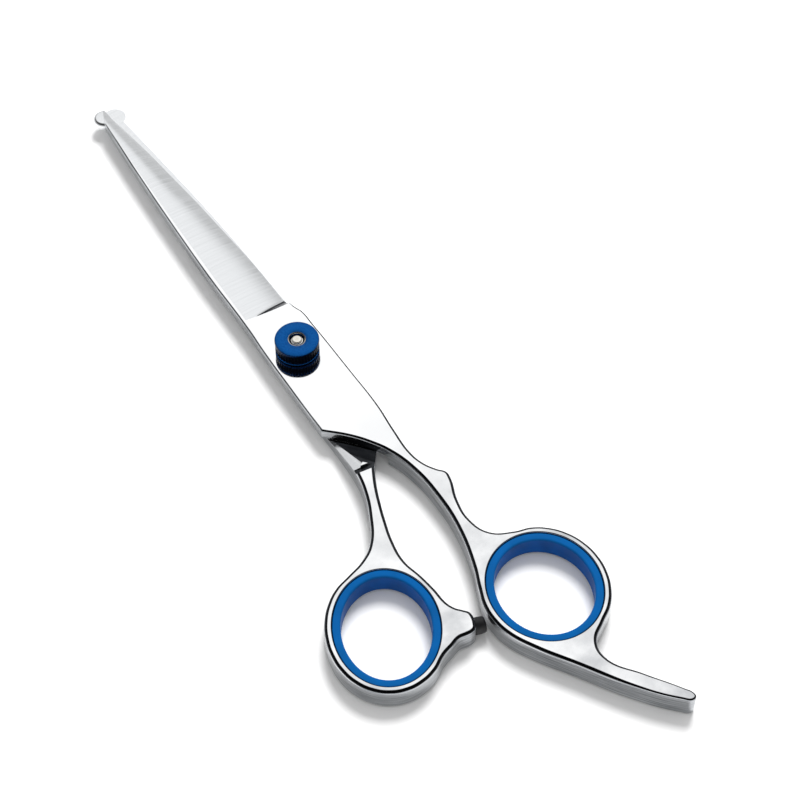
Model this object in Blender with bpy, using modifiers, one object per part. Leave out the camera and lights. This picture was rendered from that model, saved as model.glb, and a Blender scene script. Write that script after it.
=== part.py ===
"""Straight ball-tip grooming scissors with offset handles, ring inserts and a tension knob.

Metres, +Z up.  The Z axis is the pivot axis, the blades point along +Y, and the undersides
of the rings and of the pivot stud's head stand on the plane z = 0.  The scissors are shut.
"""
import math

import bmesh
import bpy
from mathutils import Matrix, Vector

MM = 0.001

# --- clearances -------------------------------------------------------------------------
GAP = 0.30 * MM               # between pieces that touch
SPRING_ROOM = 0.30 * MM       # free height above and below the spring washer

# --- heights ----------------------------------------------------------------------------
HANDLE_THICKNESS = 5.0 * MM   # rings, shanks and finger rest
REAR_STANDOFF = 0.4 * MM      # rear blade above the resting plane
REAR_THICKNESS = 2.05 * MM    # rear blade at the pivot
EDGE_LAND = 0.40 * MM         # thickness left at a cutting edge
SPINE_DROP = 0.10 * MM        # a ground face starts this far below the flat at the spine
REAR_TOP = REAR_STANDOFF + REAR_THICKNESS
FRONT_BOTTOM = REAR_TOP + GAP

# --- blades -----------------------------------------------------------------------------
BLADE_REACH = 82.0 * MM       # pivot axis to the end of the cutting edge
HEEL_REACH = 10.3 * MM        # pivot axis to the start of the cutting edge
EDGE_HEEL_X = 6.1 * MM        # front cutting edge beside the pivot axis, at its heel
EDGE_TIP_X = 5.5 * MM         # and at its tip
EDGE_BOW = 1.0 * MM           # outward bow of the cutting edge
SPINE_HEEL_X = -5.1 * MM
SPINE_TIP_X = 2.8 * MM
SPINE_TIP_SETBACK = 5.3 * MM  # the spine stops this far short of the reach
SPINE_BOW = 0.6 * MM
HEEL_STEP = 0.4 * MM          # pivot block proud of the cutting edge
REAR_SPINE_HEEL_X = 6.3 * MM
REAR_SPINE_TIP_X = 7.5 * MM
REAR_SPINE_BOW = 0.35 * MM
REAR_EDGE_HEEL_X = -4.3 * MM
REAR_EDGE_TIP_X = 4.8 * MM
BLOCK_SPINE_X = -8.0 * MM
BLOCK_END_Y = -19.3 * MM      # where the crotch starts on the spine side
FRONT_STEP_Y = -23.0 * MM     # where the front shank reaches its full thickness
CROTCH_CORNER = (-0.3 * MM, -31.2 * MM)

# --- ball tips --------------------------------------------------------------------------
BALL_RADIUS = 2.4 * MM
BALL_HEIGHT = 1.35 * MM
BALL_SETBACK = 2.2 * MM       # ball centre short of the reach
BALL_TRIM = 0.07 * MM         # ball trimmed this far inside the cutting edge
FRONT_BALL_X = 4.3 * MM
REAR_BALL_X = 6.8 * MM

# --- rings and inserts ------------------------------------------------------------------
FINGER_HOLE = (10.9 * MM, 12.1 * MM)      # half widths of the oval hole
FINGER_TILT = math.radians(-15.0)
FINGER_RING_LEFT_X = -8.0 * MM            # side of the finger ring that faces the thumb ring
FINGER_RING_Y = -73.3 * MM
THUMB_HOLE = (10.1 * MM, 12.6 * MM)
THUMB_TILT = math.radians(-31.0)
THUMB_RING_RIGHT_X = -12.3 * MM           # side of the thumb ring that faces the finger ring
THUMB_RING_Y = -62.7 * MM
RING_WALL = 1.4 * MM
INSERT_WALL = 1.4 * MM
INSERT_INSET = 0.25 * MM                  # rim of an insert below the ring's face

# --- pivot ------------------------------------------------------------------------------
STUD_RADIUS = 2.2 * MM        # bearing shank through both blades
STUD_FLAT = 1.65 * MM         # half width across the flats in the front blade
STUD_HEAD_LIP = 0.4 * MM      # head proud of the rear blade's bore
STUD_HEAD_HEIGHT = 1.0 * MM
STUD_CHAMFER = 0.2 * MM
THREAD_RADIUS = 1.4 * MM      # threaded end inside the knob
STUD_END_BELOW_KNOB = 0.15 * MM
BUSHING_WALL = 0.8 * MM
KNOB_RADIUS = 4.5 * MM
KNOB_WALL = 1.0 * MM          # skirt around the washers
KNOB_CROWN = 1.75 * MM        # thickness above the washers
KNOB_CHAMFER = 0.25 * MM
KNOB_EYE_CHAMFER = 0.35 * MM
KNURL_COUNT = 40
KNURL_DEPTH = 0.18 * MM
KNURL_LAND = 0.75 * MM        # smooth band under the crown
FRICTION_WASHER_HEIGHT = 0.4 * MM
SPRING_WASHER_HEIGHT = 0.45 * MM
SPRING_STOCK = 0.25 * MM
REAR_BORE_RADIUS = STUD_RADIUS + BUSHING_WALL + 2 * GAP
STUD_HEAD_RADIUS = REAR_BORE_RADIUS + STUD_HEAD_LIP
WASHER_RADIUS = KNOB_RADIUS - KNOB_WALL - GAP
KNOB_BASE = HANDLE_THICKNESS + GAP
FRICTION_WASHER_TOP = KNOB_BASE + FRICTION_WASHER_HEIGHT
SPRING_WASHER_BASE = FRICTION_WASHER_TOP + SPRING_ROOM
KNOB_RECESS_TOP = SPRING_WASHER_BASE + SPRING_WASHER_HEIGHT + SPRING_ROOM
KNOB_TOP = KNOB_RECESS_TOP + KNOB_CROWN

# --- bumper -----------------------------------------------------------------------------
BUMPER_RADIUS = 1.6 * MM
BUMPER_LENGTH = 1.95 * MM     # rubber head between the lug and the finger ring
BUMPER_TILT = math.radians(-20.0)
BUMPER_ROUNDING = 0.3 * MM
BUMPER_STEM_RADIUS = 0.9 * MM
BUMPER_STEM_LENGTH = 2.2 * MM
BUMPER_TIP_Y = -72.0 * MM
LUG_SHOULDER = 0.3 * MM       # lug beside the bumper

# --- faceting ---------------------------------------------------------------------------
RING_SIDES = 64
ROUND_SIDES = 40
CURVE_STEPS = 5
CUTTER_MARGIN = 1.0 * MM      # how far a cutter runs past what it cuts
WELD_DISTANCE = 0.01 * MM
SMOOTH_BELOW = math.radians(35.0)


def oval_reach(half_widths, tilt):
    """Half the width along X of an oval turned by tilt."""
    return math.hypot(half_widths[0] * math.cos(tilt), half_widths[1] * math.sin(tilt))


def ring_outside(hole):
    """Half widths of the outside of a ring."""
    return hole[0] + RING_WALL, hole[1] + RING_WALL


def ring_edge(centre, hole, tilt, degrees):
    """A point on the outside of a ring, counted from the end of its short half width."""
    angle = math.radians(degrees)
    half_x, half_y = ring_outside(hole)
    x, y = half_x * math.cos(angle), half_y * math.sin(angle)
    return (centre[0] + x * math.cos(tilt) - y * math.sin(tilt),
            centre[1] + x * math.sin(tilt) + y * math.cos(tilt))


FINGER_CENTRE = (FINGER_RING_LEFT_X + oval_reach(ring_outside(FINGER_HOLE), FINGER_TILT),
                 FINGER_RING_Y)
THUMB_CENTRE = (THUMB_RING_RIGHT_X - oval_reach(ring_outside(THUMB_HOLE), THUMB_TILT),
                THUMB_RING_Y)
FINGER = (FINGER_CENTRE, FINGER_HOLE, FINGER_TILT)
THUMB = (THUMB_CENTRE, THUMB_HOLE, THUMB_TILT)
BUMPER_TIP_X = (FINGER_RING_LEFT_X - GAP
                + (BUMPER_RADIUS - BUMPER_ROUNDING) * math.sin(BUMPER_TILT))


def lug_point(out, aside):
    """A point counted from the middle of the lug's face, along the bumper and across it."""
    out -= BUMPER_LENGTH + GAP
    return (BUMPER_TIP_X + out * math.cos(BUMPER_TILT) - aside * math.sin(BUMPER_TILT),
            BUMPER_TIP_Y + out * math.sin(BUMPER_TILT) + aside * math.cos(BUMPER_TILT))




def clear_scene():
    """Remove every object and collection that the scene starts with."""
    for obj in list(bpy.data.objects):
        bpy.data.objects.remove(obj)
    for collection in list(bpy.data.collections):
        bpy.data.collections.remove(collection)


def new_collection(name):
    """Return a new collection in the scene."""
    collection = bpy.data.collections.new(name)
    bpy.context.scene.collection.children.link(collection)
    return collection


def place(obj, collection):
    """Move obj into one collection; cutters are drawn as wires and never rendered."""
    for owner in list(obj.users_collection):
        owner.objects.unlink(obj)
    collection.objects.link(obj)
    if collection == CUTTERS:
        obj.hide_render = True
        obj.display_type = "WIRE"
    return obj


def material(name, colour, roughness, metallic):
    """Return a plain Principled material."""
    look = bpy.data.materials.new(name)
    look.use_nodes = True
    shader = look.node_tree.nodes["Principled BSDF"]
    shader.inputs["Base Color"].default_value = (*colour, 1.0)
    shader.inputs["Roughness"].default_value = roughness
    shader.inputs["Metallic"].default_value = metallic
    return look


def finish(obj, name, look):
    """Name a piece, give it its material and smooth its round sides."""
    obj.name = name
    obj.data.name = name
    obj.data.materials.clear()
    obj.data.materials.append(look)
    obj.data.shade_smooth()
    obj.data.set_sharp_from_angle(angle=SMOOTH_BELOW)
    return obj


def bake_transform(obj):
    """Apply an object's location, rotation and scale to its mesh."""
    bpy.context.view_layer.update()
    obj.data.transform(obj.matrix_world)
    obj.matrix_world = Matrix.Identity(4)
    return obj


def weld(mesh):
    """Join the points of a mesh that lie on each other and turn its faces outwards."""
    editable = bmesh.new()
    editable.from_mesh(mesh)
    bmesh.ops.remove_doubles(editable, verts=editable.verts, dist=WELD_DISTANCE)
    bmesh.ops.recalc_face_normals(editable, faces=editable.faces)
    editable.to_mesh(mesh)
    editable.free()


def smooth(x, y):
    """An outline point that the curve runs smoothly through."""
    return x, y, "AUTO"


def corner(x, y):
    """An outline point with a sharp corner."""
    return x, y, "VECTOR"


def outline_solid(name, anchors, bottom, top, collection):
    """Extrude the closed curve through the anchors between two heights."""
    curve = bpy.data.curves.new(name + "_outline", "CURVE")
    curve.dimensions = "2D"
    curve.fill_mode = "BOTH"
    curve.resolution_u = CURVE_STEPS
    curve.extrude = (top - bottom) / 2
    spline = curve.splines.new("BEZIER")
    spline.bezier_points.add(len(anchors) - 1)
    spline.use_cyclic_u = True
    for point, (x, y, handle) in zip(spline.bezier_points, anchors):
        point.co = (x, y, 0.0)
        point.handle_left_type = handle
        point.handle_right_type = handle
    guide = bpy.data.objects.new(name + "_outline", curve)
    bpy.context.scene.collection.objects.link(guide)
    guide.location.z = (top + bottom) / 2
    bpy.context.view_layer.update()
    evaluated = guide.evaluated_get(bpy.context.evaluated_depsgraph_get())
    mesh = bpy.data.meshes.new_from_object(evaluated)
    obj = bpy.data.objects.new(name, mesh)
    obj.matrix_world = guide.matrix_world.copy()
    bpy.data.objects.remove(guide)
    weld(mesh)
    return place(obj, collection)


def box(name, low, high, collection):
    """A box between two corners."""
    low, high = Vector(low), Vector(high)
    bpy.ops.mesh.primitive_cube_add(size=1.0, location=(low + high) / 2)
    obj = bpy.context.object
    obj.name = name
    obj.scale = high - low
    return place(bake_transform(obj), collection)


def oval(name, centre, half_widths, tilt, bottom, top, collection, sides=RING_SIDES):
    """An upright oval cylinder turned by tilt about its own axis."""
    bpy.ops.mesh.primitive_cylinder_add(
        vertices=sides, radius=1.0, depth=top - bottom,
        location=(*centre, (top + bottom) / 2), rotation=(0.0, 0.0, tilt))
    obj = bpy.context.object
    obj.name = name
    obj.scale = (*half_widths, 1.0)
    return place(bake_transform(obj), collection)


def bore(name, radius, bottom, top):
    """A round cutter on the pivot axis."""
    return oval(name, (0.0, 0.0), (radius, radius), 0.0, bottom, top, CUTTERS, ROUND_SIDES)


def turned(name, profile, sides=ROUND_SIDES, closed=True):
    """Turn (radius, height) points about Z; they run down the outer side first."""
    mesh = bpy.data.meshes.new(name)
    points = [(radius, 0.0, height) for radius, height in profile]
    edges = [(i, i + 1) for i in range(len(points) - 1)]
    if closed:
        edges.append((len(points) - 1, 0))
    mesh.from_pydata(points, edges, [])
    obj = bpy.data.objects.new(name, mesh)
    screw = obj.modifiers.new("turn", "SCREW")
    screw.steps = sides
    screw.render_steps = sides
    screw.use_merge_vertices = True
    screw.merge_threshold = WELD_DISTANCE
    return place(obj, PARTS)


def cut(obj, tool, operation="DIFFERENCE"):
    """Add a live boolean of a tool object to obj."""
    boolean = obj.modifiers.new(tool.name, "BOOLEAN")
    boolean.operation = operation
    boolean.solver = "EXACT"
    boolean.object = tool
    return obj


def bowed_side(start, end, bow):
    """Outline points between start and end, pushed along X by a parabola."""
    points = []
    for share in (0.25, 0.5, 0.75):
        x = start[0] + (end[0] - start[0]) * share + 4 * bow * share * (1 - share)
        y = start[1] + (end[1] - start[1]) * share
        points.append(smooth(x, y))
    return points


def ground_face(name, edge, spine, above):
    """A slab that leaves a blade's ground face, through (x, z) at its edge and its spine."""
    size = 4 * BLADE_REACH
    low_z, high_z = (0.0, size) if above else (-size, 0.0)
    slab = box(name, (-size, HEEL_REACH, low_z), (size, size, high_z), CUTTERS)
    slope = math.atan((spine[1] - edge[1]) / (edge[0] - spine[0]))
    slab.matrix_world = (Matrix.Translation((edge[0], 0.0, edge[1]))
                         @ Matrix.Rotation(slope, 4, "Y"))
    return bake_transform(slab)


def ball_tip(name, centre, plane, edge_x, upwards):
    """Half of a flattened ball on the mating plane, trimmed flush with the cutting edge."""
    bpy.ops.mesh.primitive_uv_sphere_add(
        segments=24, ring_count=12, radius=1.0, location=(*centre, plane))
    obj = bpy.context.object
    obj.name = name
    obj.scale = (BALL_RADIUS, BALL_RADIUS, BALL_HEIGHT)
    place(bake_transform(obj), CUTTERS)
    reach = 3 * BALL_RADIUS
    low = (centre[0] - reach, centre[1] - reach, plane - (reach if upwards else 0.0))
    high = (centre[0] + reach, centre[1] + reach, plane + (0.0 if upwards else reach))
    cut(obj, box(name + "_plane", low, high, CUTTERS))
    side = math.copysign(1.0, edge_x - centre[0])
    near_x, far_x = sorted((edge_x - side * BALL_TRIM, edge_x + side * reach))
    low = (near_x, centre[1] - reach, plane - reach)
    high = (far_x, centre[1] + reach, plane + reach)
    return cut(obj, box(name + "_edge", low, high, CUTTERS))


def ring_solid(name, ring):
    """The outside of a ring as a solid oval."""
    centre, hole, tilt = ring
    return oval(name, centre, ring_outside(hole), tilt, 0.0, HANDLE_THICKNESS, CUTTERS)


def ring_hole(name, ring):
    """The cutter for the hole of a ring."""
    centre, hole, tilt = ring
    return oval(name, centre, hole, tilt, -CUTTER_MARGIN, HANDLE_THICKNESS + CUTTER_MARGIN, CUTTERS)


def front_layer():
    """The front blade and its pivot block, in the upper half of the thickness."""
    edge_heel = (EDGE_HEEL_X, HEEL_REACH)
    edge_tip = (EDGE_TIP_X, BLADE_REACH)
    spine_heel = (SPINE_HEEL_X, HEEL_REACH)
    spine_tip = (SPINE_TIP_X, BLADE_REACH - SPINE_TIP_SETBACK)
    anchors = [corner(*edge_tip)]
    anchors += bowed_side(edge_tip, edge_heel, EDGE_BOW)
    anchors += [
        corner(*edge_heel),
        smooth(EDGE_HEEL_X + HEEL_STEP, HEEL_REACH - 2.0 * MM),
        smooth(6.4 * MM, 4.6 * MM),
        smooth(5.5 * MM, -11.0 * MM),
        corner(4.5 * MM, FRONT_STEP_Y - 1.0 * MM),
        corner(*CROTCH_CORNER),
        smooth(-2.0 * MM, -27.3 * MM),
        smooth(-4.3 * MM, -23.6 * MM),
        corner(BLOCK_SPINE_X, BLOCK_END_Y),
        smooth(-7.6 * MM, -14.0 * MM),
        smooth(-6.95 * MM, -7.0 * MM),
        smooth(-5.8 * MM, 4.5 * MM),
        smooth(*spine_heel),
    ]
    anchors += bowed_side(spine_heel, spine_tip, -SPINE_BOW)
    anchors.append(corner(*spine_tip))
    return outline_solid("front_blade", anchors, FRONT_BOTTOM, HANDLE_THICKNESS, PARTS)


def front_shank():
    """The full-thickness shank between the pivot block and the finger ring."""
    anchors = [
        corner(4.55 * MM, FRONT_STEP_Y),
        smooth(3.7 * MM, -27.6 * MM),
        smooth(3.0 * MM, -34.0 * MM),
        smooth(3.5 * MM, -37.3 * MM),
        smooth(4.7 * MM, -39.9 * MM),
        smooth(5.8 * MM, -41.6 * MM),
        smooth(5.6 * MM, -43.2 * MM),
        smooth(3.4 * MM, -48.3 * MM),
        smooth(2.5 * MM, -53.1 * MM),
        smooth(4.0 * MM, -57.9 * MM),
        smooth(*ring_edge(*FINGER, 92.0)),
        corner(*ring_edge(*FINGER, 80.0)),
        corner(*FINGER_CENTRE),
        corner(*ring_edge(*FINGER, 172.0)),
        smooth(*ring_edge(*FINGER, 162.0)),
        smooth(-3.6 * MM, -61.8 * MM),
        smooth(-0.5 * MM, -53.0 * MM),
        smooth(0.8 * MM, -45.0 * MM),
        smooth(0.9 * MM, -37.5 * MM),
        corner(*CROTCH_CORNER),
    ]
    return outline_solid("front_shank", anchors, 0.0, HANDLE_THICKNESS, CUTTERS)


def finger_rest():
    """The tang that leaves the finger ring and ends in a rounded tip."""
    anchors = [
        corner(*ring_edge(*FINGER, -46.0)),
        smooth(*ring_edge(*FINGER, -56.0)),
        smooth(4.5 * MM, -88.3 * MM),
        smooth(3.6 * MM, -91.6 * MM),
        smooth(7.0 * MM, -98.6 * MM),
        smooth(10.8 * MM, -105.8 * MM),
        smooth(11.1 * MM, -108.0 * MM),
        smooth(9.4 * MM, -107.1 * MM),
        smooth(3.3 * MM, -99.1 * MM),
        smooth(-1.9 * MM, -89.4 * MM),
        smooth(-5.6 * MM, -82.4 * MM),
        smooth(-7.75 * MM, -77.1 * MM),
        corner(-7.5 * MM, -74.4 * MM),
        corner(*FINGER_CENTRE),
    ]
    return outline_solid("finger_rest", anchors, 0.0, HANDLE_THICKNESS, CUTTERS)


def front_blade(steel):
    """The front blade, its finger ring and its finger rest, forged in one piece."""
    obj = front_layer()
    edge = (EDGE_HEEL_X, FRONT_BOTTOM + EDGE_LAND)
    spine = (SPINE_HEEL_X, HANDLE_THICKNESS - SPINE_DROP)
    cut(obj, ground_face("front_grind", edge, spine, True))
    centre = (FRONT_BALL_X, BLADE_REACH - BALL_SETBACK)
    cut(obj, ball_tip("front_ball", centre, FRONT_BOTTOM, EDGE_TIP_X, True), "UNION")
    cut(obj, front_shank(), "UNION")
    cut(obj, ring_solid("finger_ring", FINGER), "UNION")
    cut(obj, finger_rest(), "UNION")
    cut(obj, ring_hole("finger_hole", FINGER))
    key_hole = bore("front_bore", STUD_RADIUS + GAP, FRONT_BOTTOM - CUTTER_MARGIN,
                    HANDLE_THICKNESS + CUTTER_MARGIN)
    flats = STUD_FLAT + GAP
    cut(key_hole, box("front_bore_flats", (-flats, -2 * STUD_RADIUS, 0.0),
                      (flats, 2 * STUD_RADIUS, 2 * HANDLE_THICKNESS), CUTTERS), "INTERSECT")
    cut(obj, key_hole)
    return finish(obj, "front_blade", steel)


def rear_layer():
    """The rear blade and its pivot block, in the lower half of the thickness."""
    spine_heel = (REAR_SPINE_HEEL_X, HEEL_REACH)
    spine_tip = (REAR_SPINE_TIP_X, BLADE_REACH - SPINE_TIP_SETBACK)
    edge_heel = (REAR_EDGE_HEEL_X, HEEL_REACH)
    edge_tip = (REAR_EDGE_TIP_X, BLADE_REACH - BALL_SETBACK)
    anchors = [corner(*spine_tip)]
    anchors += bowed_side(spine_tip, spine_heel, REAR_SPINE_BOW)
    anchors += [
        smooth(*spine_heel),
        smooth(5.2 * MM, -11.0 * MM),
        corner(4.1 * MM, FRONT_STEP_Y + 1.0 * MM),
        corner(-1.5 * MM, -28.6 * MM),
        corner(-4.7 * MM, -32.3 * MM),
        corner(-8.6 * MM, -32.0 * MM),
        smooth(-7.6 * MM, -25.5 * MM),
        smooth(-7.1 * MM, -19.3 * MM),
        smooth(-7.2 * MM, -10.0 * MM),
        smooth(-5.5 * MM, 4.0 * MM),
        smooth(*edge_heel),
    ]
    anchors += bowed_side(edge_heel, edge_tip, -SPINE_BOW)
    anchors.append(corner(*edge_tip))
    return outline_solid("rear_blade", anchors, REAR_STANDOFF, REAR_TOP, PARTS)


def rear_ramp():
    """The ground ramp that rises from the rear block to the full thickness of its shank."""
    foot = (0.0, -22.0 * MM, REAR_TOP - 0.1 * MM)
    head = (0.0, -31.0 * MM, HANDLE_THICKNESS)
    anchors = [
        corner(-7.2 * MM, foot[1]),
        corner(-6.2 * MM, -22.6 * MM),
        smooth(-4.8 * MM, -24.6 * MM),
        corner(-2.4 * MM, -28.3 * MM),
        corner(-4.7 * MM, -32.4 * MM),
        corner(-8.6 * MM, -32.0 * MM),
        smooth(-7.75 * MM, -27.0 * MM),
    ]
    ramp = outline_solid("rear_ramp", anchors, REAR_STANDOFF + REAR_THICKNESS / 2,
                         HANDLE_THICKNESS, CUTTERS)
    slope = math.atan2(head[2] - foot[2], foot[1] - head[1])
    slab = box("rear_ramp_cut", (-BLADE_REACH, -BLADE_REACH, 0.0),
               (BLADE_REACH, BLADE_REACH, BLADE_REACH), CUTTERS)
    slab.matrix_world = Matrix.Translation(foot) @ Matrix.Rotation(-slope, 4, "X")
    return cut(ramp, bake_transform(slab))


def rear_shank():
    """The full-thickness shank between the ramp and the thumb ring."""
    anchors = [
        corner(-8.45 * MM, -31.2 * MM),
        corner(-4.8 * MM, -32.3 * MM),
        smooth(-6.9 * MM, -36.0 * MM),
        smooth(-8.9 * MM, -40.1 * MM),
        smooth(-10.5 * MM, -43.8 * MM),
        smooth(-12.2 * MM, -48.4 * MM),
        smooth(-13.1 * MM, -53.0 * MM),
        smooth(*ring_edge(*THUMB, 48.0)),
        corner(*ring_edge(*THUMB, 40.0)),
        corner(*THUMB_CENTRE),
        corner(*ring_edge(*THUMB, 132.0)),
        smooth(*ring_edge(*THUMB, 122.0)),
        smooth(-19.6 * MM, -48.3 * MM),
        smooth(-16.4 * MM, -46.4 * MM),
        smooth(-12.2 * MM, -40.6 * MM),
        smooth(-9.9 * MM, -36.0 * MM),
    ]
    return outline_solid("rear_shank", anchors, 0.0, HANDLE_THICKNESS, CUTTERS)


def bumper_lug():
    """The nose on the thumb ring that carries the bumper."""
    half_width = BUMPER_RADIUS + LUG_SHOULDER
    anchors = [
        corner(*ring_edge(*THUMB, 38.0)),
        smooth(*ring_edge(*THUMB, 31.0)),
        smooth(-12.35 * MM, -65.2 * MM),
        smooth(-11.8 * MM, -66.9 * MM),
        smooth(-10.95 * MM, -68.1 * MM),
        smooth(*lug_point(-0.15 * MM, half_width + 0.4 * MM)),
        corner(*lug_point(0.0, half_width)),
        corner(*lug_point(0.0, -half_width)),
        smooth(*lug_point(-0.6 * MM, -half_width - 0.35 * MM)),
        smooth(-13.6 * MM, -72.95 * MM),
        smooth(-15.2 * MM, -72.7 * MM),
        smooth(-17.2 * MM, -73.2 * MM),
        smooth(*ring_edge(*THUMB, -30.0)),
        corner(*ring_edge(*THUMB, -38.0)),
        corner(*THUMB_CENTRE),
    ]
    return outline_solid("bumper_lug", anchors, 0.0, HANDLE_THICKNESS, CUTTERS)


def stem_hole():
    """The cutter for the bumper's stem, across the lug's face."""
    bpy.ops.mesh.primitive_cylinder_add(
        vertices=ROUND_SIDES, radius=BUMPER_STEM_RADIUS + GAP,
        depth=2 * (BUMPER_STEM_LENGTH + GAP),
        location=(*lug_point(0.0, 0.0), HANDLE_THICKNESS / 2),
        rotation=(0.0, math.pi / 2, BUMPER_TILT))
    obj = bpy.context.object
    obj.name = "stem_hole"
    return place(bake_transform(obj), CUTTERS)


def rear_blade(steel):
    """The rear blade, its thumb ring and the bumper's lug, forged in one piece."""
    obj = rear_layer()
    edge = (REAR_EDGE_HEEL_X, REAR_TOP - EDGE_LAND)
    spine = (REAR_SPINE_HEEL_X, REAR_STANDOFF + SPINE_DROP)
    cut(obj, ground_face("rear_grind", edge, spine, False))
    centre = (REAR_BALL_X, BLADE_REACH - BALL_SETBACK)
    cut(obj, ball_tip("rear_ball", centre, REAR_TOP, REAR_EDGE_TIP_X, False), "UNION")
    cut(obj, rear_ramp(), "UNION")
    cut(obj, rear_shank(), "UNION")
    cut(obj, ring_solid("thumb_ring", THUMB), "UNION")
    cut(obj, bumper_lug(), "UNION")
    cut(obj, ring_hole("thumb_hole", THUMB))
    cut(obj, bore("rear_bore", REAR_BORE_RADIUS, -CUTTER_MARGIN, HANDLE_THICKNESS))
    cut(obj, bore("rear_counterbore", STUD_HEAD_RADIUS + GAP, -CUTTER_MARGIN,
                  STUD_HEAD_HEIGHT + GAP))
    cut(obj, stem_hole())
    return finish(obj, "rear_blade", steel)


def ring_insert(name, ring, look):
    """A plastic sleeve inside the hole of a ring."""
    centre, hole, tilt = ring
    outer = (hole[0] - GAP, hole[1] - GAP)
    inner = (outer[0] - INSERT_WALL, outer[1] - INSERT_WALL)
    bottom = INSERT_INSET
    top = HANDLE_THICKNESS - INSERT_INSET
    obj = oval(name, centre, outer, tilt, bottom, top, PARTS)
    opening = oval(name + "_opening", centre, inner, tilt, bottom - CUTTER_MARGIN,
                   top + CUTTER_MARGIN, CUTTERS)
    return finish(cut(obj, opening), name, look)


def stop_bumper(rubber):
    """The rubber stop between the rings, pressed into the lug by its stem."""
    profile = [
        (0.0, BUMPER_LENGTH), (BUMPER_RADIUS - BUMPER_ROUNDING, BUMPER_LENGTH),
        (BUMPER_RADIUS, BUMPER_LENGTH - BUMPER_ROUNDING), (BUMPER_RADIUS, 0.0),
        (BUMPER_STEM_RADIUS, 0.0), (BUMPER_STEM_RADIUS, -BUMPER_STEM_LENGTH),
        (0.0, -BUMPER_STEM_LENGTH),
    ]
    obj = turned("stop_bumper", profile, closed=False)
    obj.location = (*lug_point(GAP, 0.0), HANDLE_THICKNESS / 2)
    obj.rotation_euler = (0.0, math.pi / 2, BUMPER_TILT)
    return finish(obj, "stop_bumper", rubber)


def pivot_stud(steel):
    """The flat-headed stud that carries both blades and the knob's thread."""
    top = KNOB_TOP - STUD_END_BELOW_KNOB
    profile = [
        (0.0, top), (THREAD_RADIUS - STUD_CHAMFER, top), (THREAD_RADIUS, top - STUD_CHAMFER),
        (THREAD_RADIUS, HANDLE_THICKNESS), (STUD_RADIUS, HANDLE_THICKNESS),
        (STUD_RADIUS, STUD_HEAD_HEIGHT), (STUD_HEAD_RADIUS, STUD_HEAD_HEIGHT),
        (STUD_HEAD_RADIUS, STUD_CHAMFER), (STUD_HEAD_RADIUS - STUD_CHAMFER, 0.0), (0.0, 0.0),
    ]
    obj = turned("pivot_stud", profile, closed=False)
    for name, side in (("left", -1), ("right", 1)):
        near, far = sorted((side * STUD_FLAT, side * 2 * STUD_RADIUS))
        cut(obj, box("stud_flat_" + name, (near, -2 * STUD_RADIUS, FRONT_BOTTOM - GAP),
                     (far, 2 * STUD_RADIUS, KNOB_BASE), CUTTERS))
    return finish(obj, "pivot_stud", steel)


def pivot_bushing(nylon):
    """The bearing bush pressed into the rear blade."""
    inner = STUD_RADIUS + GAP
    outer = inner + BUSHING_WALL
    low, high = STUD_HEAD_HEIGHT + GAP, REAR_TOP
    profile = [(outer, high), (outer, low), (inner, low), (inner, high)]
    return finish(turned("pivot_bushing", profile), "pivot_bushing", nylon)


def friction_washer(nylon):
    """The flat washer that the spring presses on the front blade."""
    inner = THREAD_RADIUS + GAP
    profile = [
        (WASHER_RADIUS, FRICTION_WASHER_TOP), (WASHER_RADIUS, KNOB_BASE),
        (inner, KNOB_BASE), (inner, FRICTION_WASHER_TOP),
    ]
    return finish(turned("friction_washer", profile), "friction_washer", nylon)


def spring_washer(steel):
    """The coned spring washer between the friction washer and the knob."""
    inner = THREAD_RADIUS + GAP
    rise = SPRING_WASHER_HEIGHT - SPRING_STOCK
    profile = [
        (WASHER_RADIUS, SPRING_WASHER_BASE + SPRING_STOCK), (WASHER_RADIUS, SPRING_WASHER_BASE),
        (inner, SPRING_WASHER_BASE + rise), (inner, SPRING_WASHER_BASE + SPRING_WASHER_HEIGHT),
    ]
    return finish(turned("spring_washer", profile), "spring_washer", steel)


def knurl_comb():
    """One cutter that holds the grooves of the whole knurl."""
    comb = oval("knurl_comb", (KNOB_RADIUS, 0.0), (KNURL_DEPTH, KNURL_DEPTH), 0.0,
                KNOB_BASE - CUTTER_MARGIN, KNOB_TOP - KNURL_LAND, CUTTERS, 6)
    groove = comb.data.copy()
    editable = bmesh.new()
    for index in range(KNURL_COUNT):
        before = len(editable.verts)
        editable.from_mesh(groove)
        editable.verts.ensure_lookup_table()
        turn = Matrix.Rotation(2 * math.pi * index / KNURL_COUNT, 4, "Z")
        bmesh.ops.transform(editable, matrix=turn, verts=editable.verts[before:])
    editable.to_mesh(comb.data)
    editable.free()
    bpy.data.meshes.remove(groove)
    return comb


def tension_knob(blue):
    """The knurled knob that sets how hard the blades are pressed together."""
    recess = WASHER_RADIUS + GAP
    eye = THREAD_RADIUS + GAP
    profile = [
        (KNOB_RADIUS - KNOB_CHAMFER, KNOB_TOP), (KNOB_RADIUS, KNOB_TOP - KNOB_CHAMFER),
        (KNOB_RADIUS, KNOB_BASE + KNOB_CHAMFER), (KNOB_RADIUS - KNOB_CHAMFER, KNOB_BASE),
        (recess, KNOB_BASE), (recess, KNOB_RECESS_TOP), (eye, KNOB_RECESS_TOP),
        (eye, KNOB_TOP - KNOB_EYE_CHAMFER), (eye + KNOB_EYE_CHAMFER, KNOB_TOP),
    ]
    obj = turned("tension_knob", profile, 2 * KNURL_COUNT)
    return finish(cut(obj, knurl_comb()), "tension_knob", blue)


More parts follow.
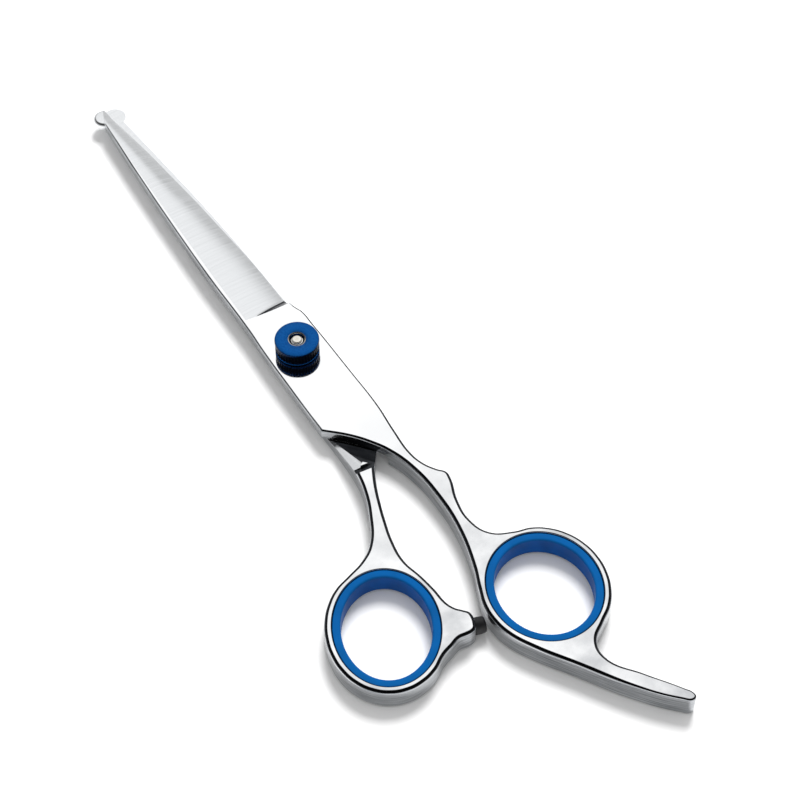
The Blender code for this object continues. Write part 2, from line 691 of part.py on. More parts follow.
def build():
    """Model every piece of the scissors."""
    polished = material("polished_steel", (0.78, 0.79, 0.80), 0.08, 1.0)
    turned_steel = material("turned_steel", (0.72, 0.72, 0.72), 0.2, 1.0)
    spring_steel = material("spring_steel", (0.45, 0.45, 0.46), 0.3, 1.0)
    blue_plastic = material("blue_plastic", (0.004, 0.11, 0.52), 0.25, 0.0)
    blue_anodised = material("blue_anodised", (0.005, 0.05, 0.30), 0.25, 1.0)
    rubber = material("black_rubber", (0.012, 0.012, 0.013), 0.6, 0.0)
    nylon = material("white_nylon", (0.8, 0.8, 0.76), 0.45, 0.0)
    front_blade(polished)
    rear_blade(polished)
    ring_insert("finger_ring_insert", FINGER, blue_plastic)
    ring_insert("thumb_ring_insert", THUMB, blue_plastic)
    stop_bumper(rubber)
    pivot_stud(turned_steel)
    pivot_bushing(nylon)
    friction_washer(nylon)
    spring_washer(spring_steel)
    tension_knob(blue_anodised)


clear_scene()
PARTS = new_collection("ball_tip_scissors")
CUTTERS = new_collection("cutters")
build()
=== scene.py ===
"""Visual model of straight ball-tip grooming scissors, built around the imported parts.

Metres, +Z up, in the parts' own frame: the Z axis is the pivot axis and the blades point
along +Y.  The two forgings, the ring sleeves, the bumper, the stud and the knob are modelled
anew; the hidden washers and the bushing keep their solids and get a better material.
"""
import logging
import math
from dataclasses import dataclass
from enum import Enum
from typing import ClassVar

import bmesh
import bpy
from mathutils import Matrix, Vector


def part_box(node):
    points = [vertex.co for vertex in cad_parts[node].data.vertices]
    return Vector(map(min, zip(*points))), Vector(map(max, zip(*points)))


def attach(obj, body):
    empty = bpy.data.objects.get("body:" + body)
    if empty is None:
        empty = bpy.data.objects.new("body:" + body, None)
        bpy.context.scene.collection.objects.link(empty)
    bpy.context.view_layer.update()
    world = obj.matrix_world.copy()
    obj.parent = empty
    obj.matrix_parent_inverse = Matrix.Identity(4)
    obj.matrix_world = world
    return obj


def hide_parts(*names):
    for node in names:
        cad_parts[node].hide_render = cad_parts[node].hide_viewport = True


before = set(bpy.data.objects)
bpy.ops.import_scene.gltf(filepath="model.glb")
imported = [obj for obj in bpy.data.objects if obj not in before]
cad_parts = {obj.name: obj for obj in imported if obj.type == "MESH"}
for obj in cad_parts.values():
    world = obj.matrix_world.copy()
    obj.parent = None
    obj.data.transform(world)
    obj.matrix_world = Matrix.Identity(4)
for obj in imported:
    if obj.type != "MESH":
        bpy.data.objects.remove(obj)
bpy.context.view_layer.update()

MM = 0.001
LOG = logging.getLogger("scissors")

# Where cutters end, well clear of the scissors, in millimetres.
SIDE = 40.0
PAST_TIP = 100.0
ABOVE = 9.0
BELOW = -2.0

# Points closer than these are one point, in millimetres: while a blank is shaped, on a
# fresh outline and after carving.
WELD = 0.002
OUTLINE_WELD = 0.01
CARVED_WELD = 0.004


# --- modelling tools --------------------------------------------------------------------
class Bend(Enum):
    """How an outline passes through an anchor."""

    SMOOTH = "AUTO"
    SHARP = "VECTOR"


class Carve(Enum):
    """What a tool does to a blank."""

    REMOVE = "DIFFERENCE"
    ADD = "UNION"


@dataclass(frozen=True)
class Anchor:
    """One point of an outline, in millimetres."""

    x: float
    y: float
    bend: Bend = Bend.SMOOTH


@dataclass(frozen=True)
class Oval:
    """An oval in plan, in millimetres and degrees."""

    x: float
    y: float
    half_width: float
    half_length: float
    tilt: float

    def point(self, degrees: float, offset: float = 0.0) -> tuple[float, float]:
        """Return a point on the oval.

        Args:
            degrees: parameter angle, counted from the end of the half width.
            offset: distance outside the oval.

        Returns:
            The point's x and y in millimetres.
        """
        angle, tilt = math.radians(degrees), math.radians(self.tilt)
        across = (self.half_width + offset) * math.cos(angle)
        along = (self.half_length + offset) * math.sin(angle)
        return (self.x + across * math.cos(tilt) - along * math.sin(tilt),
                self.y + across * math.sin(tilt) + along * math.cos(tilt))

    def arc(self, start: float, end: float, count: int, offset: float) -> list[Anchor]:
        """Return smooth anchors along part of the oval.

        Args:
            start: first parameter angle in degrees.
            end: last parameter angle in degrees.
            count: number of anchors.
            offset: distance outside the oval.

        Returns:
            The anchors in order.
        """
        step = (end - start) / (count - 1)
        return [Anchor(*self.point(start + step * index, offset)) for index in range(count)]


def quarter_turn(steps: int) -> list[float]:
    """Return the angles of a quarter circle in even steps.

    Args:
        steps: how many steps there are.

    Returns:
        The angles in radians, from 0 to a right angle.
    """
    return [math.radians(90.0 * step / steps) for step in range(steps + 1)]


def new_object(name: str, shape: bmesh.types.BMesh) -> bpy.types.Object:
    """Turn a bmesh into an object at the origin.

    Args:
        name: the object's name.
        shape: the bmesh, which is freed.

    Returns:
        The new object, linked to the scene.
    """
    mesh = bpy.data.meshes.new(name)
    shape.to_mesh(mesh)
    shape.free()
    piece = bpy.data.objects.new(name, mesh)
    bpy.context.scene.collection.objects.link(piece)
    return piece


def face_outwards(shape: bmesh.types.BMesh) -> None:
    """Merge doubled points and turn every face of a closed shape outwards.

    Args:
        shape: the closed shape.
    """
    bmesh.ops.remove_doubles(shape, verts=shape.verts, dist=WELD * MM)
    bmesh.ops.recalc_face_normals(shape, faces=shape.faces)


def outline_face(anchors: list[Anchor], height: float, steps: int = 8) -> bmesh.types.BMesh:
    """Fill the closed curve through the anchors with one face.

    Args:
        anchors: the outline, in order.
        height: height of the face in millimetres.
        steps: points between two anchors.

    Returns:
        A bmesh with the one face, which looks up.
    """
    curve = bpy.data.curves.new("outline", "CURVE")
    curve.dimensions = "2D"
    curve.fill_mode = "NONE"
    curve.resolution_u = steps
    spline = curve.splines.new("BEZIER")
    spline.bezier_points.add(len(anchors) - 1)
    spline.use_cyclic_u = True
    for point, anchor in zip(spline.bezier_points, anchors):
        point.co = (anchor.x * MM, anchor.y * MM, 0.0)
        point.handle_left_type = anchor.bend.value
        point.handle_right_type = anchor.bend.value
    guide = bpy.data.objects.new("outline", curve)
    bpy.context.scene.collection.objects.link(guide)
    bpy.context.view_layer.update()
    mesh = bpy.data.meshes.new_from_object(guide.evaluated_get(
        bpy.context.evaluated_depsgraph_get()))
    bpy.data.objects.remove(guide)
    shape = bmesh.new()
    shape.from_mesh(mesh)
    bpy.data.meshes.remove(mesh)
    bmesh.ops.remove_doubles(shape, verts=shape.verts, dist=OUTLINE_WELD * MM)
    bmesh.ops.edgeloop_fill(shape, edges=shape.edges)
    bmesh.ops.translate(shape, verts=shape.verts, vec=(0.0, 0.0, height * MM))
    shape.faces.ensure_lookup_table()
    if shape.faces[0].normal.z < 0:
        bmesh.ops.reverse_faces(shape, faces=shape.faces)
    return shape


@dataclass(frozen=True)
class Rounding:
    """A rounded rim, wide and low, which may fade from the handle towards the blade."""

    radius: float
    breadth: float = 1.4
    blade_share: float = 1.0
    tail_share: float = 1.0
    blade_fade: tuple[float, float] = (-40.0, -12.0)
    tail_fade: tuple[float, float] = (-92.0, -104.0)

    def share(self, y: float) -> float:
        """Return how much of the radius is left at a place.

        Args:
            y: the place along the scissors in metres.

        Returns:
            The share of the radius, from 0 to 1.
        """
        left = 1.0
        for end, (start, stop) in ((self.blade_share, self.blade_fade),
                                   (self.tail_share, self.tail_fade)):
            along = min(max((y / MM - start) / (stop - start), 0.0), 1.0)
            left += (end - 1.0) * along * along * (3 - 2 * along)
        return left


def round_over(shape: bmesh.types.BMesh, face: bmesh.types.BMFace, rounding: Rounding,
               segments: int = 6) -> None:
    """Round the rim of a level face by stepping it inwards and outwards.

    Args:
        shape: the bmesh that holds the face.
        face: the face, which lies a full radius short of its final height.
        rounding: the rim's radius and how it fades.
        segments: steps of the quarter circle.
    """
    side, radius = math.copysign(1.0, face.normal.z), rounding.radius * MM
    for point in face.verts:
        point.co.z += side * radius * (1 - rounding.share(point.co.y))
    angles = quarter_turn(segments)
    for angle, after in zip(angles, angles[1:]):
        inset = math.cos(angle) - math.cos(after)
        lift = math.sin(after) - math.sin(angle)
        before = [point.co.copy() for point in face.verts]
        bmesh.ops.inset_individual(shape, faces=[face], depth=0.0, use_even_offset=True,
                                   thickness=inset * radius * rounding.breadth)
        for old, point in zip(before, face.verts):
            share = rounding.share(old.y)
            point.co = old + (point.co - old) * share
            point.co.z = old.z + side * lift * radius * share


def rounded_plate(name: str, anchors: list[Anchor], bottom: float, top: float,
                  lower: Rounding | None = None,
                  upper: Rounding | None = None) -> bpy.types.Object:
    """Make a plate with an outline, upright sides and rounded rims.

    Args:
        name: the object's name.
        anchors: the outline, in order.
        bottom: height of the underside in millimetres.
        top: height of the upper side in millimetres.
        lower: the lower rim's rounding.
        upper: the upper rim's rounding.

    Returns:
        The plate.
    """
    start = bottom + (lower.radius if lower else 0.0)
    shape = outline_face(anchors, start)
    rise = top - (upper.radius if upper else 0.0) - start
    raised = bmesh.ops.extrude_face_region(shape, geom=shape.faces[:])["geom"]
    points = [item for item in raised if isinstance(item, bmesh.types.BMVert)]
    bmesh.ops.translate(shape, verts=points, vec=(0.0, 0.0, rise * MM))
    bmesh.ops.recalc_face_normals(shape, faces=shape.faces)
    for side, rounding in ((1.0, upper), (-1.0, lower)):
        if rounding:
            round_over(shape, max(shape.faces, key=lambda face: face.normal.z * side), rounding)
    face_outwards(shape)
    return new_object(name, shape)


def plan_tool(name: str, anchors: list[Anchor], bottom: float, top: float) -> bpy.types.Object:
    """Make an upright cutter with an outline.

    Args:
        name: the cutter's name.
        anchors: the outline, in order.
        bottom: height of the underside in millimetres.
        top: height of the upper side in millimetres.

    Returns:
        The cutter.
    """
    return rounded_plate(name, anchors, bottom, top)


def straight(*points: tuple[float, float]) -> list[Anchor]:
    """Return a sharp-cornered outline.

    Args:
        points: the corners in order, in millimetres.

    Returns:
        The outline's anchors.
    """
    return [Anchor(x, y, Bend.SHARP) for x, y in points]


def oval_loft(name: str, oval: Oval, profile: list[tuple[float, float]], sides: int,
              closed: bool) -> bpy.types.Object:
    """Carry an oval through a profile.

    Args:
        name: the object's name.
        oval: the oval in plan.
        profile: pairs of distance outside the oval and height, in millimetres.
        sides: points round the oval.
        closed: join the last point to the first, instead of capping both ends.

    Returns:
        The lofted solid.
    """
    shape = bmesh.new()
    first_offset, first_height = profile[0]
    loop = bmesh.ops.create_circle(shape, segments=sides, radius=1.0)["verts"]
    size = (oval.half_width + first_offset, oval.half_length + first_offset)
    bmesh.ops.scale(shape, verts=loop, vec=(size[0] * MM, size[1] * MM, 1.0))
    bmesh.ops.translate(shape, verts=loop, vec=(0.0, 0.0, first_height * MM))
    edges = shape.edges[:]
    height = first_height
    for offset, next_height in profile[1:] + ([profile[0]] if closed else []):
        raised = bmesh.ops.extrude_edge_only(shape, edges=edges)["geom"]
        points = [item for item in raised if isinstance(item, bmesh.types.BMVert)]
        edges = [item for item in raised if isinstance(item, bmesh.types.BMEdge)]
        grown = (oval.half_width + offset, oval.half_length + offset)
        bmesh.ops.scale(shape, verts=points, vec=(grown[0] / size[0], grown[1] / size[1], 1.0))
        bmesh.ops.translate(shape, verts=points, vec=(0.0, 0.0, (next_height - height) * MM))
        size, height = grown, next_height
    if not closed:
        rims = [edge for edge in shape.edges if edge.is_boundary]
        bmesh.ops.edgeloop_fill(shape, edges=rims)
    place = (Matrix.Translation((oval.x * MM, oval.y * MM, 0.0))
             @ Matrix.Rotation(math.radians(oval.tilt), 4, "Z"))
    bmesh.ops.transform(shape, matrix=place, verts=shape.verts)
    face_outwards(shape)
    return new_object(name, shape)


def turned(name: str, profile: list[tuple[float, float]], sides: int,
           place: Matrix = Matrix.Identity(4)) -> bpy.types.Object:
    """Turn a profile about the Z axis.

    Args:
        name: the object's name.
        profile: closed line of radius and height in millimetres.
        sides: steps round the axis.
        place: where the turned solid goes.

    Returns:
        The turned solid.
    """
    shape = bmesh.new()
    points = [shape.verts.new((radius * MM, 0.0, height * MM)) for radius, height in profile]
    for start, end in zip(points, points[1:] + points[:1]):
        if start.co.x > 0.0 or end.co.x > 0.0:
            shape.edges.new((start, end))
    bmesh.ops.spin(shape, geom=shape.verts[:] + shape.edges[:], cent=(0.0, 0.0, 0.0),
                   axis=(0.0, 0.0, 1.0), angle=2 * math.pi, steps=sides, use_merge=True)
    bmesh.ops.transform(shape, matrix=place, verts=shape.verts)
    face_outwards(shape)
    return new_object(name, shape)


def carve(piece: bpy.types.Object, tool: bpy.types.Object, kind: Carve) -> None:
    """Apply a boolean of a tool to a piece at once and throw the tool away.

    Args:
        piece: the blank.
        tool: the solid that cuts it or joins it.
        kind: what the tool does.
    """
    boolean = piece.modifiers.new("carve", "BOOLEAN")
    boolean.operation = kind.value
    boolean.solver = "EXACT"
    boolean.object = tool
    bpy.context.view_layer.update()
    old = piece.data
    piece.data = bpy.data.meshes.new_from_object(piece.evaluated_get(
        bpy.context.evaluated_depsgraph_get()))
    piece.modifiers.clear()
    bpy.data.meshes.remove(old)
    piece.data.name = piece.name
    bpy.data.objects.remove(tool)


def tidy_surface(piece: bpy.types.Object) -> None:
    """Merge the slivers that the carving left and shade the round sides smooth.

    Args:
        piece: the carved piece.
    """
    shape = bmesh.new()
    shape.from_mesh(piece.data)
    bmesh.ops.remove_doubles(shape, verts=shape.verts, dist=CARVED_WELD * MM)
    bmesh.ops.dissolve_degenerate(shape, edges=shape.edges, dist=WELD * MM)
    shape.to_mesh(piece.data)
    shape.free()
    piece.data.shade_smooth()
    piece.data.set_sharp_from_angle(angle=math.radians(40.0))
    weighted = piece.modifiers.new("flat faces stay flat", "WEIGHTED_NORMAL")
    weighted.keep_sharp = True
    weighted.weight = 100


# --- finishes ---------------------------------------------------------------------------
def linear(code: str) -> tuple[float, float, float, float]:
    """Turn an sRGB hex colour into linear RGBA.

    Args:
        code: the colour, as in "#1A2B3C".

    Returns:
        Linear red, green, blue and an alpha of 1.
    """
    parts = [int(code[index:index + 2], 16) / 255 for index in (1, 3, 5)]
    return (*[part / 12.92 if part <= 0.04045 else ((part + 0.055) / 1.055) ** 2.4
              for part in parts], 1.0)


def add_node(tree: bpy.types.NodeTree, kind: str, settings: dict | None = None,
             inputs: dict | None = None) -> bpy.types.Node:
    """Add a node with its settings and links.

    Args:
        tree: the node tree.
        kind: the node's type.
        settings: attributes to set.
        inputs: socket names or numbers, each with a value or the socket that feeds it.

    Returns:
        The new node.
    """
    node = tree.nodes.new(kind)
    for name, value in (settings or {}).items():
        setattr(node, name, value)
    for key, value in (inputs or {}).items():
        if isinstance(value, bpy.types.NodeSocket):
            tree.links.new(value, node.inputs[key])
        else:
            node.inputs[key].default_value = value
    return node


@dataclass(frozen=True)
class Finish:
    """A surface finish; the subclasses add its pattern."""

    name: str
    colour: str
    roughness: float
    metallic: float = 0.0

    def material(self) -> bpy.types.Material:
        """Make the finish's material with its pattern.

        Returns:
            The material.
        """
        look = bpy.data.materials.new(self.name)
        look.use_nodes = True
        tree = look.node_tree
        shader = tree.nodes["Principled BSDF"]
        shader.inputs["Base Color"].default_value = linear(self.colour)
        shader.inputs["Roughness"].default_value = self.roughness
        shader.inputs["Metallic"].default_value = self.metallic
        self.pattern(tree, shader)
        return look

    def pattern(self, tree: bpy.types.NodeTree, shader: bpy.types.Node) -> None:
        """Add the pattern of the surface; a plain finish has none.

        Args:
            tree: the material's node tree.
            shader: its Principled shader.
        """

    @staticmethod
    def noise(tree: bpy.types.NodeTree, per_mm: tuple[float, float, float],
              detail: float) -> bpy.types.NodeSocket:
        """Return noise in object space.

        Args:
            tree: the node tree.
            per_mm: how many spots there are in a millimetre along X, Y and Z.
            detail: octaves of finer noise.

        Returns:
            The noise's value.
        """
        place = add_node(tree, "ShaderNodeTexCoord").outputs["Object"]
        scale = tuple(count / MM for count in per_mm)
        mapped = add_node(tree, "ShaderNodeMapping", None, {"Vector": place, "Scale": scale})
        return add_node(tree, "ShaderNodeTexNoise", None, {
            "Vector": mapped.outputs["Vector"], "Scale": 1.0, "Detail": detail,
        }).outputs["Fac"]

    @staticmethod
    def spread(tree: bpy.types.NodeTree, value: bpy.types.NodeSocket, low: float,
               high: float) -> bpy.types.NodeSocket:
        """Stretch the middle of a noise value over a range.

        Args:
            tree: the node tree.
            value: the noise.
            low: what the low end of the noise becomes.
            high: what the high end becomes.

        Returns:
            The stretched value.
        """
        return add_node(tree, "ShaderNodeMapRange", None, {
            "Value": value, "From Min": 0.3, "From Max": 0.7, "To Min": low, "To Max": high,
        }).outputs["Result"]

    @staticmethod
    def tint(tree: bpy.types.NodeTree, share: bpy.types.NodeSocket, first: str,
             second: str) -> bpy.types.NodeSocket:
        """Mix two colours.

        Args:
            tree: the node tree.
            share: how much of the second colour there is, from 0 to 1.
            first: the first sRGB hex colour.
            second: the second sRGB hex colour.

        Returns:
            The mixed colour.
        """
        return add_node(tree, "ShaderNodeMix", {"data_type": "RGBA"}, {
            0: share, 6: linear(first), 7: linear(second)}).outputs[2]

    @staticmethod
    def relief(tree: bpy.types.NodeTree, shader: bpy.types.Node,
               height: bpy.types.NodeSocket, depth: float) -> None:
        """Feed a height into the shader's normal.

        Args:
            tree: the node tree.
            shader: the shader.
            height: the height, from 0 to 1.
            depth: the real depth of the relief in millimetres.
        """
        bump = add_node(tree, "ShaderNodeBump", None, {
            "Height": height, "Strength": 1.0, "Distance": depth * MM})
        tree.links.new(bump.outputs["Normal"], shader.inputs["Normal"])


@dataclass(frozen=True)
class MirrorStainless(Finish):
    """Stainless steel buffed on a cloth wheel: a clean mirror with faint clouds of haze."""

    haze: str = "#D9DBDE"
    cloud: float = 7.0
    wave_depth: float = 0.0006
    haze_along: tuple[float, float] | None = None
    """Where the haze starts and where it is full, along Y in millimetres."""

    def pattern(self, tree: bpy.types.NodeTree, shader: bpy.types.Node) -> None:
        """Add haze, uneven polish and the slight waves that a buffing wheel leaves.

        Args:
            tree: the material's node tree.
            shader: its Principled shader.
        """
        clouds = self.noise(tree, (1 / self.cloud,) * 3, 5.0)
        share = self.spread(tree, clouds, 0.0, 1.0)
        if self.haze_along:
            place = add_node(tree, "ShaderNodeTexCoord").outputs["Object"]
            along = add_node(tree, "ShaderNodeSeparateXYZ", None, {0: place}).outputs["Y"]
            start, full = self.haze_along
            grown = add_node(tree, "ShaderNodeMapRange", None, {
                "Value": along, "From Min": start * MM, "From Max": full * MM,
            }).outputs["Result"]
            share = add_node(tree, "ShaderNodeMath", {"operation": "MULTIPLY"},
                             {0: share, 1: grown}).outputs["Value"]
        tree.links.new(self.tint(tree, share, self.colour, self.haze),
                       shader.inputs["Base Color"])
        tree.links.new(self.spread(tree, clouds, self.roughness * 0.7, self.roughness * 1.5),
                       shader.inputs["Roughness"])
        self.relief(tree, shader, self.noise(tree, (0.2, 0.2, 0.2), 2.0), self.wave_depth)


@dataclass(frozen=True)
class LinishedStainless(Finish):
    """Stainless steel drawn along an abrasive belt: fine bright and dark lines."""

    dark: str = "#6F7276"
    lines_per_mm: tuple[float, float, float] = (0.12, 0.12, 5.0)
    line_depth: float = 0.002

    def pattern(self, tree: bpy.types.NodeTree, shader: bpy.types.Node) -> None:
        """Add the belt's lines; a real 320 grit line is finer than can show.

        Args:
            tree: the material's node tree.
            shader: its Principled shader.
        """
        lines = self.noise(tree, self.lines_per_mm, 3.0)
        share = self.spread(tree, lines, 0.0, 1.0)
        tree.links.new(self.tint(tree, share, self.dark, self.colour),
                       shader.inputs["Base Color"])
        tree.links.new(self.spread(tree, lines, self.roughness * 0.8, self.roughness * 1.3),
                       shader.inputs["Roughness"])
        self.relief(tree, shader, lines, self.line_depth)


@dataclass(frozen=True)
class MouldedGloss(Finish):
    """Moulded ABS: an even colour with a slight skin and cloudy gloss."""

    deep: str = "#0A4E96"
    gloss: float = 0.5

    def pattern(self, tree: bpy.types.NodeTree, shader: bpy.types.Node) -> None:
        """Add slight colour clouds and the fine skin of the mould.

        Args:
            tree: the material's node tree.
            shader: its Principled shader.
        """
        shader.inputs["Specular IOR Level"].default_value = self.gloss
        clouds = self.noise(tree, (0.25, 0.25, 0.25), 3.0)
        share = self.spread(tree, clouds, 0.0, 1.0)
        tree.links.new(self.tint(tree, share, self.deep, self.colour),
                       shader.inputs["Base Color"])
        tree.links.new(self.spread(tree, clouds, self.roughness * 0.85,
                                   self.roughness * 1.2), shader.inputs["Roughness"])
        self.relief(tree, shader, self.noise(tree, (4.0, 4.0, 4.0), 2.0), 0.003)


@dataclass(frozen=True)
class Anodised(Finish):
    """Dyed anodised aluminium over a turned surface: metallic, slightly grainy."""

    deep: str = "#0B3F80"

    def pattern(self, tree: bpy.types.NodeTree, shader: bpy.types.Node) -> None:
        """Add the grain of the blasted and dyed layer.

        Args:
            tree: the material's node tree.
            shader: its Principled shader.
        """
        grain = self.noise(tree, (5.0, 5.0, 5.0), 3.0)
        share = self.spread(tree, grain, 0.0, 1.0)
        tree.links.new(self.tint(tree, share, self.deep, self.colour),
                       shader.inputs["Base Color"])
        tree.links.new(self.spread(tree, grain, self.roughness * 0.8, self.roughness * 1.3),
                       shader.inputs["Roughness"])
        self.relief(tree, shader, grain, 0.006)


@dataclass(frozen=True)
class TurnedMetal(Finish):
    """Metal faced on a lathe: rings about the pivot axis catch the light."""

    WAVE: ClassVar[float] = 20.0
    """Radians that the wave texture runs through in one unit at a scale of 1."""

    dark: str = "#8B8A86"
    ring_spacing: float = 2.2

    def pattern(self, tree: bpy.types.NodeTree, shader: bpy.types.Node) -> None:
        """Add the tool's rings, far coarser than the real feed of 0.05 mm so that they show.

        Args:
            tree: the material's node tree.
            shader: its Principled shader.
        """
        place = add_node(tree, "ShaderNodeTexCoord").outputs["Object"]
        rings = add_node(tree, "ShaderNodeTexWave", {
            "wave_type": "RINGS", "rings_direction": "Z", "wave_profile": "SIN",
        }, {"Vector": place, "Scale": 2 * math.pi / (self.WAVE * self.ring_spacing * MM),
            "Distortion": 0.4}).outputs["Fac"]
        tree.links.new(self.tint(tree, rings, self.dark, self.colour),
                       shader.inputs["Base Color"])
        self.relief(tree, shader, rings, 0.0015)


@dataclass(frozen=True)
class MattRubber(Finish):
    """Moulded rubber: nearly black, with a dusty, finely pitted skin."""

    dust: str = "#26272A"

    def pattern(self, tree: bpy.types.NodeTree, shader: bpy.types.Node) -> None:
        """Add dust and pits.

        Args:
            tree: the material's node tree.
            shader: its Principled shader.
        """
        pits = self.noise(tree, (3.0, 3.0, 3.0), 4.0)
        share = self.spread(tree, pits, 0.0, 1.0)
        tree.links.new(self.tint(tree, share, self.colour, self.dust),
                       shader.inputs["Base Color"])
        self.relief(tree, shader, pits, 0.02)


@dataclass(frozen=True)
class PlainNylon(MouldedGloss):
    """Moulded bearing nylon: milky and matt."""


class Finishes:
    """Every finish of the scissors, made once."""

    def __init__(self) -> None:
        """Make the materials."""
        # The flats turn greyer in clouds from the block towards the rings.
        self.mirror = MirrorStainless("buffed_stainless", "#F4F5F6", 0.07, 1.0,
                                      haze="#BFC1C4", haze_along=(-20.0, -60.0)).material()
        # The sloping rims, the plunge, the bevel and some crotch facets get a painted dark
        # reflection and shade: the same steel, painted near black.
        self.rim = MirrorStainless("stainless_painted_dark_reflection", "#3C3E42", 0.12, 1.0,
                                   haze="#2C2E32", cloud=2.0).material()
        self.wall = LinishedStainless("linished_stainless", "#CFD1D4", 0.15, 1.0,
                                      dark="#7C8084").material()
        # The ground faces are drawn across the blade, from the spine to the edge.
        self.ground = LinishedStainless("ground_stainless", "#E6E8EA", 0.2, 1.0,
                                        dark="#DCDEE0", lines_per_mm=(0.05, 2.2, 0.05),
                                        line_depth=0.0002).material()
        self.sleeve = MouldedGloss("blue_abs", "#00508F", 0.42, deep="#004880",
                                   gloss=0.1).material()
        # The hole's upright walls get a second, deeper copy of the blue: painted shade.
        self.bore = MouldedGloss("blue_abs_inside_painted_shade", "#00509A", 0.42, deep="#00407E",
                                 gloss=0.1).material()
        self.knob = Anodised("blue_anodised_aluminium", "#185FA8", 0.30, 1.0,
                             deep="#0D4788").material()
        # The knurl is painted far darker than the faced top: a painted dark reflection on the
        # knob's side.
        self.knurl = Anodised("blue_anodised_knurl_painted_dark_reflection", "#0B2448", 0.22, 1.0,
                              deep="#050E22").material()
        self.bare = TurnedMetal("bright_cut_aluminium", "#E9E7E2", 0.15, 1.0,
                                dark="#BEB8AC").material()
        self.stud = TurnedMetal("turned_stainless", "#F6F3EC", 0.2, 1.0,
                                dark="#D8D2C6").material()
        self.spring = TurnedMetal("tempered_spring_steel", "#8C8A86", 0.3, 1.0,
                                  dark="#6A6864").material()
        self.rubber = MattRubber("black_rubber", "#08080A", 0.5, dust="#121315").material()
        self.nylon = PlainNylon("white_nylon", "#E8E6DC", 0.45, deep="#DAD8CC").material()


# --- the forgings -----------------------------------------------------------------------
class Look(Enum):
    """Slot of each finish on a forging."""

    MIRROR = 0
    # Painted dark reflection and shade on the sloping rims, the plunge, the bevel and some facets.
    PAINTED_DARK_REFLECTION = 1
    WALL = 2
    GROUND = 3


def pivot_bore(name: str, radius: float, bottom: float, top: float) -> bpy.types.Object:
    """Return the cutter of a round bore on the pivot axis.

    Args:
        name: the cutter's name.
        radius: the bore's radius in millimetres.
        bottom: where the bore starts in millimetres.
        top: where it ends in millimetres.

    Returns:
        The cutter.
    """
    bore = Oval(0.0, 0.0, radius, radius, 0.0)
    return oval_loft(name, bore, [(0.0, bottom), (0.0, top)], 64, False)


@dataclass
class Forging:
    """What the two forgings share: a handle with a ring, a pivot block and a blade."""

    finishes: Finishes
    name: str
    node: str
    body: str
    ring: Oval
    thickness: float = 5.0
    ring_wall: float = 1.4
    rim: Rounding = Rounding(0.6, 1.5, 0.55, 0.55)
    foot: Rounding = Rounding(0.55, 1.0, 1.0, 0.6)
    hole_round: float = 0.22
    reach: float = 82.0
    ball_radius: float = 2.5
    ball_height: float = 1.25
    ball_edge: float = 0.8
    ball_crown: float = 0.1
    ball_setback: float = 2.6
    ball_trim: float = 0.07
    level: float = 0.985
    """Faces whose normal rises more than this were buffed flat."""
    steep: float = 0.6
    """Faces whose normal rises less than this are the forging's walls."""

    def ring_hole(self) -> bpy.types.Object:
        """Make the cutter of the ring's hole, which flares at both rims.

        Returns:
            The cutter.
        """
        flare, top = self.hole_round, self.thickness
        profile = [(flare + 1.0, -1.0), (flare, -flare)]
        for angle in quarter_turn(5):
            profile.append((flare * (1 - math.sin(angle)), flare * (1 - math.cos(angle))))
        profile += [(offset, top - height) for offset, height in reversed(profile)]
        return oval_loft(self.name + "_hole", self.ring, profile[1:-1], 128, False)

    def ball(self, x: float, plane: float, side: float) -> bpy.types.Object:
        """Return half of a flattened ball on the mating plane.

        Args:
            x: the ball's centre across the blade in millimetres.
            plane: height of the mating plane in millimetres.
            side: 1 for a ball that rises above the plane, -1 for one below it.

        Returns:
            The half ball.
        """
        profile = [(0.0, 0.0), (self.ball_radius, 0.0)]
        for angle in quarter_turn(10):
            profile.append((self.ball_radius - self.ball_edge * (1 - math.cos(angle)),
                            side * (self.ball_height - self.ball_edge * (1 - math.sin(angle)))))
        profile.append((0.0, side * (self.ball_height + self.ball_crown)))
        place = Matrix.Translation((x * MM, (self.reach - self.ball_setback) * MM, plane * MM))
        return turned(self.name + "_ball", profile, 64, place)

    def local_look(self, centre: Vector, normal: Vector) -> Look | None:
        """Return the finish of a face where its slope alone doesn't tell.

        Args:
            centre: the face's centre in millimetres.
            normal: the face's normal.

        Returns:
            The finish, or None where the slope tells.
        """
        raise NotImplementedError

    def dress(self, piece: bpy.types.Object) -> None:
        """Give each face its finish by slope and place; the sloping rims get a painted dark
        reflection.

        Args:
            piece: the finished forging.
        """
        tidy_surface(piece)
        looks = self.finishes
        piece.data.materials.clear()
        for look in (looks.mirror, looks.rim, looks.wall, looks.ground):
            piece.data.materials.append(look)
        for face in piece.data.polygons:
            slope = abs(face.normal.z)
            look = self.local_look(face.center / MM, face.normal)
            if look is None and slope > self.level:
                look = Look.MIRROR
            elif look is None:
                # Sloping rims get the painted dark reflection; steeper faces are the walls.
                look = Look.PAINTED_DARK_REFLECTION if slope > self.steep else Look.WALL
            face.material_index = look.value
        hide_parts(self.node)
        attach(piece, self.body)


